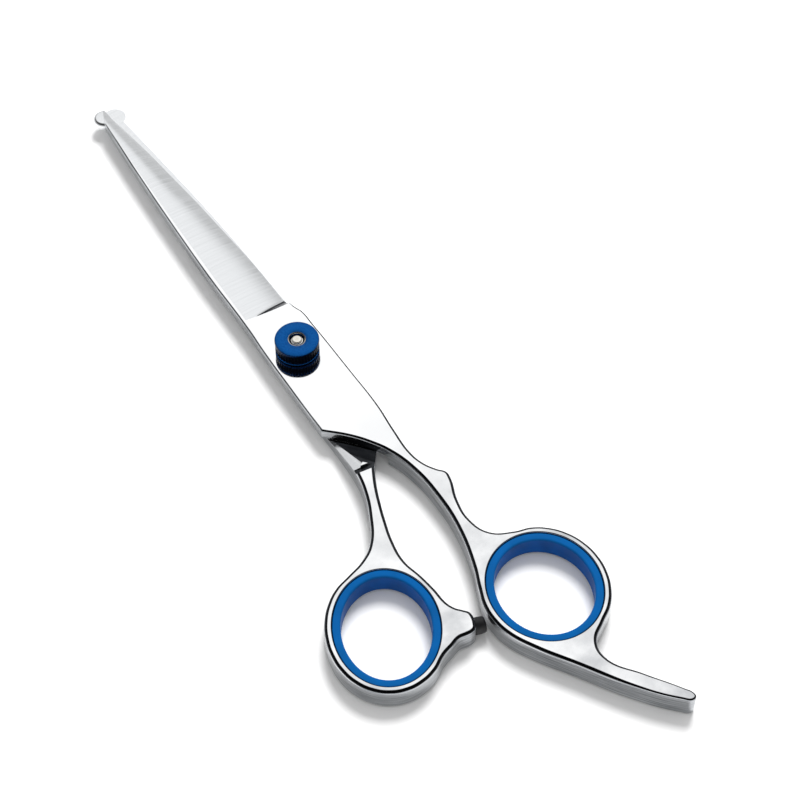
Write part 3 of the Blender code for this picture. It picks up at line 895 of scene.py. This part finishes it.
@dataclass
class FrontForging(Forging):
    """The forging in front: upper blade, finger ring and finger rest."""

    mating: float = 2.75
    heel: float = 9.7
    edge_heel_x: float = 6.1
    edge_tip_x: float = 5.5
    spine_heel_x: float = -5.1
    spine_tip_x: float = 2.8
    spine_setback: float = 5.3
    ball_x: float = 4.3
    land: float = 0.75
    bevel_from: float = 0.968
    ground_from: float = -4.0
    belly: float = 1.9
    wheel_round: float = 3.2
    heel_skew: float = 0.12
    wheel_steps: int = 14
    block_end: float = -19.3
    bore: float = 2.5

    def outline(self) -> list[Anchor]:
        """Return the outline of the whole forging.

        Returns:
            The anchors, down the edge side and up the spine.
        """
        wall = self.ring_wall
        anchors = [Anchor(self.edge_tip_x, self.reach, Bend.SHARP)]
        anchors += [Anchor(6.6, 64.0), Anchor(7.1, 46.1), Anchor(6.85, 28.0)]
        anchors += [Anchor(self.edge_heel_x, self.heel + 0.6), Anchor(6.4, self.heel - 0.9),
                    Anchor(6.65, self.heel - 1.7), Anchor(6.5, 3.6), Anchor(5.5, -11.0),
                    Anchor(4.75, -21.0), Anchor(3.7, -27.6), Anchor(3.0, -34.0), Anchor(3.5, -37.3),
                    Anchor(4.7, -39.9), Anchor(5.8, -41.6), Anchor(5.6, -43.2),
                    Anchor(3.4, -48.3), Anchor(2.5, -53.1), Anchor(3.7, -57.5)]
        anchors += self.ring.arc(92.0, -56.0, 10, wall)
        anchors += [Anchor(4.5, -88.3), Anchor(3.6, -91.6), Anchor(7.0, -98.6),
                    Anchor(10.7, -105.2), Anchor(11.5, -106.9), Anchor(11.3, -107.9),
                    Anchor(10.3, -108.1), Anchor(8.9, -106.8), Anchor(3.5, -99.3),
                    Anchor(-1.9, -89.4), Anchor(-5.6, -82.5), Anchor(-7.6, -77.4)]
        anchors += self.ring.arc(-165.0, -198.0, 3, wall)
        anchors += [Anchor(-3.6, -61.8), Anchor(-0.5, -53.0), Anchor(0.8, -45.0),
                    Anchor(0.9, -37.5), Anchor(-0.3, -31.2), Anchor(-2.0, -27.3),
                    Anchor(-4.3, -23.6), Anchor(-8.0, self.block_end, Bend.SHARP),
                    Anchor(-7.6, -14.0), Anchor(-6.95, -7.0), Anchor(-5.8, 4.5),
                    Anchor(self.spine_heel_x, self.heel),
                    Anchor(-3.6, 27.0), Anchor(-1.75, 43.5), Anchor(0.4, 60.2),
                    Anchor(self.spine_tip_x, self.reach - self.spine_setback, Bend.SHARP)]
        return anchors

    def wheel(self) -> bpy.types.Object:
        """Return what the grinding wheel takes off: a belly that falls to the edge.

        The section is carried from past the tip to the heel, where it lifts out along the
        round of the wheel.

        Returns:
            The cutter.
        """
        drop = self.thickness - self.mating - self.land
        start, end = self.ground_from, self.edge_heel_x
        section = [(start - 1.2, self.thickness + 0.8), (start - 0.5, self.thickness + 0.2)]
        for step in range(self.wheel_steps + 1):
            share = step / self.wheel_steps * self.bevel_from
            section.append((start + (end - start) * share,
                            self.thickness - drop * share ** self.belly))
        edge = self.mating + 0.1
        section += [(end, edge), (end + 1.0, edge - self.land),
                    (end + 3.0, self.thickness + ABOVE), (start - 1.2, self.thickness + ABOVE)]
        shape = bmesh.new()
        points = [shape.verts.new((x * MM, 0.0, z * MM)) for x, z in section]
        for first, second in zip(points, points[1:] + points[:1]):
            shape.edges.new((first, second))
        # Stations from past the tip to the heel: along, start of the ground face, edge.
        stations = [(95.0, 4.3, 4.9), (82.0, 3.0, 5.6), (64.0, 1.4, 6.5), (46.0, -0.7, 6.9),
                    (28.0, -2.6, 6.8), (self.heel + self.wheel_round, start, end)]
        past, edges = (start, end), shape.edges[:]
        moves = []
        for index, (along, near, far) in enumerate(stations):
            grow = (far - near) / (past[1] - past[0])
            back = stations[index - 1][0] if index else 0.0
            move = Matrix.Diagonal((grow, 1.0, 1.0, 1.0))
            move.translation = Vector(((near - past[0] * grow) * MM, (along - back) * MM, 0.0))
            if index == len(stations) - 1:
                move[1][0] = self.heel_skew
            moves.append(move)
            past = (near, far)
        angles = quarter_turn(self.wheel_steps)
        for angle, after in zip(angles, angles[1:]):
            back = self.wheel_round * (math.sin(after) - math.sin(angle))
            lift = self.wheel_round * (math.cos(angle) - math.cos(after))
            moves.append(Matrix.Translation((0.0, -back * MM, lift * MM)))
        bmesh.ops.transform(shape, matrix=moves[0], verts=points)
        for move in moves[1:]:
            raised = bmesh.ops.extrude_edge_only(shape, edges=edges)["geom"]
            points = [item for item in raised if isinstance(item, bmesh.types.BMVert)]
            edges = [item for item in raised if isinstance(item, bmesh.types.BMEdge)]
            bmesh.ops.transform(shape, matrix=move, verts=points)
        bmesh.ops.edgeloop_fill(shape, edges=[edge for edge in shape.edges if edge.is_boundary])
        face_outwards(shape)
        return new_object("front_wheel", shape)

    def build(self) -> bpy.types.Object:
        """Make the forging and dress it.

        Returns:
            The forging.
        """
        piece = rounded_plate(self.name, self.outline(), 0.0, self.thickness,
                              self.foot, self.rim)
        clearing = straight((SIDE, PAST_TIP), (-SIDE, PAST_TIP), (-SIDE, -31.2), (-0.7, -31.6),
                            (5.6, -22.0), (SIDE, -22.0))
        carve(piece, plan_tool("front_clearing", clearing, BELOW, self.mating), Carve.REMOVE)
        carve(piece, self.wheel(), Carve.REMOVE)
        cut = self.edge_tip_x - self.ball_trim
        tip_trim = straight((cut, 70.0), (cut, 90.0), (20.0, 90.0), (20.0, 70.0))
        ball = self.ball(self.ball_x, self.mating, 1.0)
        carve(ball, plan_tool("front_ball_trim", tip_trim, BELOW, ABOVE), Carve.REMOVE)
        carve(piece, ball, Carve.ADD)
        carve(piece, self.ring_hole(), Carve.REMOVE)
        carve(piece, pivot_bore("front_bore", self.bore, 1.0, ABOVE), Carve.REMOVE)
        self.dress(piece)
        return piece

    def local_look(self, centre: Vector, normal: Vector) -> Look | None:
        """Return the finish of the ball, the spine side, the ground face and its bevel.

        Args:
            centre: the face's centre in millimetres.
            normal: the face's normal.

        Returns:
            The finish, or None where the slope tells.
        """
        if centre.y > self.reach - 5.1 and centre.x < self.ball_x + 0.3:
            return Look.GROUND
        # The spine side keeps the lighter wall finish where the other rims get the painted dark
        # reflection.
        spine_side = centre.x < -1.0 + 0.05 * centre.y and normal.x < -0.1
        if spine_side and centre.y > self.block_end:
            return Look.WALL
        if centre.y > self.heel + 0.3 and centre.z > self.mating + 0.05:
            # The plunge and the bevel under the ground face get the painted dark reflection and
            # shade.
            plunge = normal.y > 0.25 and centre.y < self.heel + 4.0
            if plunge:
                return Look.PAINTED_DARK_REFLECTION
            if normal.z > 0.8 and normal.x > 0.0:
                return Look.GROUND
            if normal.z > 0.2 and normal.x > 0.0:
                return Look.PAINTED_DARK_REFLECTION
        return None


@dataclass
class RearForging(Forging):
    """The forging behind: lower blade, thumb ring and the bumper's lug."""

    mating: float = 2.45
    standoff: float = 0.4
    heel: float = 10.3
    ball_x: float = 6.8
    edge_tip_x: float = 4.8
    spine_tip: tuple[float, float] = (7.7, 76.7)
    bush_bore: float = 3.6
    head_bore: float = 4.3
    head_bore_top: float = 1.3
    facet_low: float = -33.0
    neck: float = -30.6
    crotch: tuple[float, float] = (-6.76, -20.72)
    ramp_side: float = 16.0
    ramp_top: float = 12.0

    def outline(self) -> list[Anchor]:
        """Return the outline of the whole forging.

        Returns:
            The anchors, down the spine and up the edge side.
        """
        wall = self.ring_wall
        anchors = [Anchor(*self.spine_tip, Bend.SHARP), Anchor(7.8, 60.1), Anchor(7.75, 43.5),
                   Anchor(7.2, 26.9), Anchor(6.3, self.heel), Anchor(5.2, -11.0),
                   Anchor(4.1, -22.0, Bend.SHARP), Anchor(-1.5, -28.6, Bend.SHARP),
                   Anchor(-4.7, -32.3, Bend.SHARP), Anchor(-6.9, -36.0), Anchor(-8.9, -40.1),
                   Anchor(-10.5, -43.8), Anchor(-12.2, -48.4), Anchor(-13.1, -53.0)]
        anchors += self.ring.arc(48.0, 31.0, 2, wall)
        anchors += [Anchor(-12.35, -65.2), Anchor(-11.8, -66.9), Anchor(-10.95, -68.1),
                    Anchor(-10.25, -69.2), Anchor(-10.2, -70.0), Anchor(-11.0, -72.15),
                    Anchor(-11.6, -72.85), Anchor(-12.5, -73.1), Anchor(-13.8, -72.95),
                    Anchor(-15.2, -72.7), Anchor(-17.2, -73.2)]
        anchors += self.ring.arc(-30.0, -238.0, 14, wall)
        anchors += [Anchor(-19.6, -48.3), Anchor(-16.4, -46.4), Anchor(-12.2, -40.6),
                    Anchor(-9.9, -36.0), Anchor(-8.5, -31.6), Anchor(-7.6, -25.5),
                    Anchor(-7.1, -19.3), Anchor(-6.4, -10.0), Anchor(-5.0, 4.0),
                    Anchor(-4.3, self.heel), Anchor(-2.5, 27.2), Anchor(-0.35, 45.0),
                    Anchor(2.1, 62.4), Anchor(self.edge_tip_x, 79.8, Bend.SHARP)]
        return anchors

    def ramp(self, foot: Vector, along: Vector, length: float, rise: float) -> bpy.types.Object:
        """Return a cutter whose underside climbs from a line through a point.

        Args:
            foot: a point of the low edge in millimetres.
            along: plan direction in which the underside climbs.
            length: plan length of the underside in millimetres.
            rise: how far the underside climbs in millimetres.

        Returns:
            The cutter.
        """
        along = along.normalized()
        side = Vector((-along.y, along.x, 0.0)) * self.ramp_side
        low = [foot - side, foot + side]
        reach = along * length + Vector((0.0, 0.0, rise))
        shape = bmesh.new()
        corners = [low[0], low[1], low[1] + reach, low[0] + reach]
        points = [shape.verts.new(corner * MM) for corner in corners]
        points += [shape.verts.new(Vector((corner.x, corner.y, self.ramp_top)) * MM)
                   for corner in corners]
        for face in ((0, 1, 2, 3), (4, 5, 6, 7), (0, 1, 5, 4), (1, 2, 6, 5), (2, 3, 7, 6),
                     (3, 0, 4, 7)):
            shape.faces.new([points[index] for index in face])
        face_outwards(shape)
        return new_object("rear_ramp", shape)

    def build(self) -> bpy.types.Object:
        """Make the forging and dress it.

        Returns:
            The forging.
        """
        piece = rounded_plate(self.name, self.outline(), 0.0, self.thickness,
                              self.foot, self.rim)
        top = self.mating
        upper = straight((SIDE, PAST_TIP), (-SIDE, PAST_TIP), (-SIDE, -20.74), (-6.76, -20.76),
                         (-1.15, -27.7), (-1.15, -32.0), (SIDE, -32.0))
        carve(piece, plan_tool("rear_clearing", upper, top, ABOVE), Carve.REMOVE)
        # Three ground facets run the pivot block out into the shank: a long one along the
        # left side, a steeper one on the right and a short step at the shank's neck.
        crotch, neck = Vector((*self.crotch, top)), Vector((-6.1, -30.8, top + 1.75))
        for foot, along, length, rise in ((crotch, Vector((0.494, -0.869, 0.0)), 8.6, 2.0),
                                          (crotch, Vector((-0.7785, -0.6275, 0.0)), 5.3, 2.0),
                                          (neck, Vector((-0.19, -0.98, 0.0)), 1.5, 0.85)):
            carve(piece, self.ramp(foot, along, length, rise), Carve.REMOVE)
        lower = straight((SIDE, PAST_TIP), (-SIDE, PAST_TIP), (-SIDE, -30.5), (SIDE, -26.5))
        carve(piece, plan_tool("rear_standoff", lower, BELOW, self.standoff), Carve.REMOVE)
        cut = self.edge_tip_x + self.ball_trim
        tip_trim = straight((cut, 70.0), (cut, 90.0), (-20.0, 90.0), (-20.0, 70.0))
        ball = self.ball(self.ball_x, self.mating, -1.0)
        carve(ball, plan_tool("rear_ball_trim", tip_trim, BELOW, ABOVE), Carve.REMOVE)
        carve(piece, ball, Carve.ADD)
        carve(piece, self.ring_hole(), Carve.REMOVE)
        for radius, depth in ((self.bush_bore, ABOVE), (self.head_bore, self.head_bore_top)):
            carve(piece, pivot_bore("rear_bore", radius, BELOW, depth), Carve.REMOVE)
        self.dress(piece)
        return piece

    def local_look(self, centre: Vector, normal: Vector) -> Look | None:
        """Return the finish of the facets, the blade's level sides and the ball.

        Args:
            centre: the face's centre in millimetres.
            normal: the face's normal.

        Returns:
            The finish, or None where the slope tells.
        """
        in_crotch = (self.facet_low < centre.y < self.crotch[1] + 0.02 and normal.z > self.steep
                     and self.mating + 0.02 < centre.z < self.thickness - 0.1)
        if in_crotch:
            # Only the long left facet keeps the ground finish; the other facets get the painted
            # dark reflection.
            left = normal.x < 0.0 and normal.z < self.level and centre.y > self.neck
            return Look.GROUND if left else Look.PAINTED_DARK_REFLECTION
        on_ball = centre.y > self.reach - 5.0 and centre.x > self.ball_x + 0.2
        level = centre.y > self.heel and abs(normal.z) > 0.93
        return Look.GROUND if on_ball or level else None


# --- rings, bumper and pivot ------------------------------------------------------------
@dataclass
class RingSleeve:
    """A blue sleeve pushed into a ring, with rounded rims."""

    finishes: Finishes
    name: str
    node: str
    body: str
    ring: Oval
    gap: float = 0.12
    wall: float = 1.55
    outer_round: float = 0.15
    inner_round: float = 0.45

    def build(self) -> bpy.types.Object:
        """Make the sleeve and dress it.

        Returns:
            The sleeve.
        """
        low, high = (corner.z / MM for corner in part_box(self.node))
        outside, inside = -self.gap, -self.gap - self.wall
        quarter = quarter_turn(5)
        upper = [(outside - self.outer_round * (1 - math.cos(angle)),
                  high - self.outer_round * (1 - math.sin(angle))) for angle in quarter]
        upper += [(inside + self.inner_round * (1 - math.sin(angle)),
                   high - self.inner_round * (1 - math.cos(angle))) for angle in quarter]
        lower = [(offset, low + high - height) for offset, height in reversed(upper)]
        piece = oval_loft(self.name, self.ring, upper + lower, 144, True)
        tidy_surface(piece)
        piece.data.materials.append(self.finishes.sleeve)
        piece.data.materials.append(self.finishes.bore)
        # The upright walls take the deeper blue copy: painted shade in the hole.
        for face in piece.data.polygons:
            face.material_index = int(abs(face.normal.z) < 0.3)
        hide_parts(self.node)
        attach(piece, self.body)
        return piece


@dataclass
class StopBumper:
    """The rubber stop that the finger ring closes against."""

    finishes: Finishes
    radius: float = 1.6
    length: float = 2.3
    stem: float = 0.9
    stem_length: float = 1.8
    rounding: float = 0.5
    bulge: float = 0.06
    seat_round: float = 0.12
    seat_x: float = -10.85
    seat_y: float = -71.2
    tilt: float = -20.0

    def build(self) -> bpy.types.Object:
        """Make the bumper and dress it.

        Returns:
            The bumper.
        """
        quarter = quarter_turn(6)
        profile = [(0.0, self.length)]
        profile += [(self.radius - self.rounding * (1 - math.sin(angle)),
                     self.length - self.rounding * (1 - math.cos(angle))) for angle in quarter]
        profile += [(self.radius + self.bulge, self.length * 0.4),
                    (self.radius, self.seat_round), (self.radius - self.seat_round, 0.0),
                    (self.stem, 0.0), (self.stem, -self.stem_length), (0.0, -self.stem_length)]
        low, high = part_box("stop_bumper")
        place = (Matrix.Translation((self.seat_x * MM, self.seat_y * MM, (low.z + high.z) / 2))
                 @ Matrix.Rotation(math.radians(self.tilt), 4, "Z")
                 @ Matrix.Rotation(math.pi / 2, 4, "Y"))
        piece = turned("rubber_stop", profile, 48, place)
        tidy_surface(piece)
        piece.data.materials.append(self.finishes.rubber)
        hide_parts("stop_bumper")
        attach(piece, "rear_half")
        return piece


@dataclass
class PivotStud:
    """The stud that carries the blades; its domed end shows in the knob's eye."""

    finishes: Finishes
    thread: float = 1.3
    shank: float = 2.2
    head: float = 4.0
    head_height: float = 1.0
    head_break: float = 0.1
    head_foot: float = 0.3

    def build(self) -> bpy.types.Object:
        """Make the stud and dress it.

        Returns:
            The stud.
        """
        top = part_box("pivot_stud")[1].z / MM
        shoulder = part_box("front_blade")[1].z / MM
        # The end is a low dome on a short neck above the thread.
        dome = [(0.0, top + 0.14), (0.8, top + 0.13), (0.92, top + 0.08), (1.0, top - 0.02),
                (1.02, top - 0.25), (1.2, top - 0.3), (self.thread, top - 0.45)]
        shank = [(self.thread, shoulder), (self.shank, shoulder), (self.shank, self.head_height)]
        inner = self.head - self.head_break
        head = [(inner, self.head_height), (self.head, self.head_height - self.head_break),
                (self.head, 0.28), (inner, 0.1), (self.head - self.head_foot, 0.0), (0.0, 0.0)]
        profile = dome + shank + head
        piece = turned("pivot_stud_turned", profile, 72)
        tidy_surface(piece)
        piece.data.materials.append(self.finishes.stud)
        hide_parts("pivot_stud")
        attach(piece, "front_half")
        return piece


@dataclass
class TensionKnob:
    """The knurled knob over the stud's end."""

    finishes: Finishes
    radius: float = 4.5
    teeth: int = 44
    tooth_depth: float = 0.2
    tooth_phase: float = 0.125
    tooth_flank: float = 1.3
    land: float = 0.55
    foot: float = 0.25
    chamfer: float = 0.16
    eye: float = 1.55
    eye_chamfer: float = 0.25
    recess: float = 3.5
    crown: float = 1.75

    def build(self) -> bpy.types.Object:
        """Make the knob, press its straight knurl and dress it.

        Returns:
            The knob.
        """
        low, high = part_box("tension_knob")
        base, top = low.z / MM, high.z / MM
        knurl_top, knurl_low = top - self.land, base + self.foot
        ceiling = top - self.crown
        eye = [(self.eye, top - 0.3), (self.eye + 0.05, top - 0.12),
               (self.eye + self.eye_chamfer, top)]
        rim = [(self.radius - self.chamfer, top), (self.radius - 0.05, top - 0.05),
               (self.radius, top - self.chamfer)]
        knurl = [(self.radius, knurl_top), (self.radius, knurl_top - 0.15),
                 (self.radius, knurl_low + 0.1), (self.radius - 0.05, knurl_low)]
        inside = [(self.radius - self.foot, base), (self.recess, base), (self.recess, ceiling),
                  (self.eye, ceiling)]
        piece = turned("knurled_knob", eye + rim + knurl + inside, 4 * self.teeth)
        pitch = 2 * math.pi / self.teeth
        for point in piece.data.vertices:
            radius, height = point.co.xy.length / MM, point.co.z / MM
            if radius > self.radius - 0.1 and knurl_low + 0.05 < height < knurl_top - 0.1:
                share = (math.atan2(point.co.y, point.co.x) / pitch + self.tooth_phase) % 1.0
                depth = self.tooth_depth * (1 - abs(2 * share - 1)) * self.tooth_flank
                point.co.xy *= 1 - min(depth, self.tooth_depth) / radius
        tidy_surface(piece)
        for look in (self.finishes.knob, self.finishes.knurl, self.finishes.bare):
            piece.data.materials.append(look)
        for face in piece.data.polygons:
            radius = face.center.xy.length / MM
            if radius < self.eye + self.eye_chamfer + 0.03 and face.normal.z > 0.1:
                face.material_index = 2
            # The knurl and the recess wall take the painted dark reflection.
            elif radius > self.recess - 0.1 and face.normal.z < 0.5:
                face.material_index = 1
        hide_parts("tension_knob")
        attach(piece, "knob")
        return piece


@dataclass
class HiddenPivotPieces:
    """The washers and the bushing, which keep their solids."""

    finishes: Finishes

    def build(self) -> None:
        """Dress the carried-over solids."""
        for node, look in (("friction_washer", self.finishes.nylon),
                           ("pivot_bushing", self.finishes.nylon),
                           ("spring_washer", self.finishes.spring)):
            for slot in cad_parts[node].material_slots:
                slot.material = look
            LOG.info("%s: dressed", node)


# --- studio -----------------------------------------------------------------------------
@dataclass
class Studio:
    """A white table under a large soft light, and the camera.

    The camera stands back from its target, with a heading counted from +X and a pitch below
    the horizon, in degrees.
    """

    lens: float = 99.0
    sensor: float = 36.0
    target: tuple[float, float, float] = (11.13, -19.55, 0.0)
    distance: float = 441.9
    heading: float = 52.975
    pitch: float = 53.0
    floor_drop: float = 0.03
    softbox: tuple[float, float] = (34.0, 16.0)
    """Degrees from the softbox's middle where it starts and where it is full."""
    softbox_strength: float = 1.12
    band: tuple[float, float] = (38.0, 24.0)
    """Degrees above the horizon between which the dark sky turns into the bright walls."""
    band_strength: tuple[float, float] = (0.04, 0.7)
    even_strength: float = 0.7
    key_place: tuple[float, float, float] = (0.45, 0.35, 0.75)
    key_size: float = 0.5
    key_power: float = 12.0

    def camera_axes(self) -> tuple[Vector, Vector]:
        """Work out the camera's directions.

        Returns:
            The viewing direction and the direction that is up in the frame.
        """
        turn = Matrix.Rotation(math.radians(self.heading), 3, "Z")
        tip = Matrix.Rotation(math.radians(self.pitch), 3, "Y")
        return turn @ tip @ Vector((1.0, 0.0, 0.0)), turn @ tip @ Vector((0.0, 0.0, 1.0))

    def table(self) -> None:
        """Lay a plain white floor just under the scissors."""
        shape = bmesh.new()
        bmesh.ops.create_grid(shape, x_segments=1, y_segments=1, size=3.0)
        bmesh.ops.translate(shape, verts=shape.verts, vec=(0.0, 0.0, -self.floor_drop * MM))
        floor = new_object("floor", shape)
        floor.data.materials.append(Finish("white_floor", "#F2F2F2", 0.9).material())

    def sky(self) -> None:
        """Light the table evenly, and give gloss a softbox with dark flags round it."""
        world = bpy.data.worlds.new("studio")
        bpy.context.scene.world = world
        world.use_nodes = True
        tree = world.node_tree
        tree.nodes.clear()
        way = add_node(tree, "ShaderNodeTexCoord").outputs["Generated"]
        # The softbox hangs where level steel mirrors it into the camera.
        forward = self.camera_axes()[0]
        middle = Vector((forward.x, forward.y, -forward.z))
        toward = add_node(tree, "ShaderNodeVectorMath", {"operation": "DOT_PRODUCT"},
                          {0: way, 1: middle}).outputs["Value"]
        start, full = (math.cos(math.radians(angle)) for angle in self.softbox)
        box = add_node(tree, "ShaderNodeMapRange", {"interpolation_type": "SMOOTHSTEP"}, {
            "Value": toward, "From Min": start, "From Max": full, "To Min": 0.0,
            "To Max": self.softbox_strength}).outputs["Result"]
        height = add_node(tree, "ShaderNodeSeparateXYZ", None, {0: way}).outputs["Z"]
        upper, lower = (math.sin(math.radians(angle)) for angle in self.band)
        band = add_node(tree, "ShaderNodeMapRange", {"interpolation_type": "SMOOTHSTEP"}, {
            "Value": height, "From Min": upper, "From Max": lower,
            "To Min": self.band_strength[0], "To Max": self.band_strength[1],
        }).outputs["Result"]
        glow = add_node(tree, "ShaderNodeMath", {"operation": "MAXIMUM"},
                        {0: box, 1: band}).outputs["Value"]
        path = add_node(tree, "ShaderNodeLightPath")
        shown = add_node(tree, "ShaderNodeBackground", None, {"Color": glow, "Strength": 1.0})
        even = add_node(tree, "ShaderNodeBackground", None,
                        {"Color": (1.0, 1.0, 1.0, 1.0), "Strength": self.even_strength})
        mixed = add_node(tree, "ShaderNodeMixShader", None, {
            0: path.outputs["Is Glossy Ray"], 1: even.outputs[0], 2: shown.outputs[0]})
        add_node(tree, "ShaderNodeOutputWorld", None, {0: mixed.outputs[0]})

    def lamp(self) -> None:
        """Hang a soft key light behind and to the right, which throws the shadows."""
        light = bpy.data.lights.new("key", "AREA")
        light.shape = "DISK"
        light.size = self.key_size
        light.energy = self.key_power
        key = bpy.data.objects.new("key", light)
        place = Vector(self.key_place)
        key.location = place
        key.rotation_euler = (-place).to_track_quat("-Z", "Y").to_euler()
        key.visible_glossy = False
        bpy.context.scene.collection.objects.link(key)

    def camera(self) -> None:
        """Point the camera at its target."""
        data = bpy.data.cameras.new("camera")
        data.sensor_width = self.sensor
        data.lens = self.lens
        data.clip_start = 0.01
        camera = bpy.data.objects.new("camera", data)
        forward, up = self.camera_axes()
        turn = Matrix((forward.cross(up), up, -forward)).transposed()
        place = (Vector(self.target) - forward * self.distance) * MM
        camera.matrix_world = Matrix.Translation(place) @ turn.to_4x4()
        bpy.context.scene.collection.objects.link(camera)
        bpy.context.scene.camera = camera

    def build(self) -> None:
        """Set up the whole studio."""
        bpy.context.scene.view_settings.view_transform = "Standard"
        self.table()
        self.sky()
        self.lamp()
        self.camera()


def ring_oval(sleeve: str, half_width: float, half_length: float, tilt: float) -> Oval:
    """Place a ring's oval hole round the sleeve that sits in it.

    Args:
        sleeve: the sleeve's node, which gives the centre.
        half_width: half of the hole's width in millimetres.
        half_length: half of its length in millimetres.
        tilt: how far the hole is turned, in degrees.

    Returns:
        The hole.
    """
    low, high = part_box(sleeve)
    centre = (low + high) / (2 * MM)
    return Oval(centre.x, centre.y, half_width, half_length, tilt)


def main() -> None:
    """Build every piece in order."""
    logging.basicConfig(level=logging.INFO, format="%(message)s")
    finishes = Finishes()
    finger = ring_oval("finger_ring_insert", 10.9, 12.1, -15.0)
    thumb = ring_oval("thumb_ring_insert", 10.1, 12.6, -31.0)
    for maker in (
            FrontForging(finishes, "front_forging", "front_blade", "front_half", finger),
            RearForging(finishes, "rear_forging", "rear_blade", "rear_half", thumb),
            RingSleeve(finishes, "finger_sleeve", "finger_ring_insert", "front_half", finger),
            RingSleeve(finishes, "thumb_sleeve", "thumb_ring_insert", "rear_half", thumb),
            StopBumper(finishes), PivotStud(finishes), TensionKnob(finishes)):
        piece = maker.build()
        LOG.info("%s: %d faces", piece.name, len(piece.data.polygons))
    HiddenPivotPieces(finishes).build()
    Studio().build()


if __name__ == "__main__":
    main()
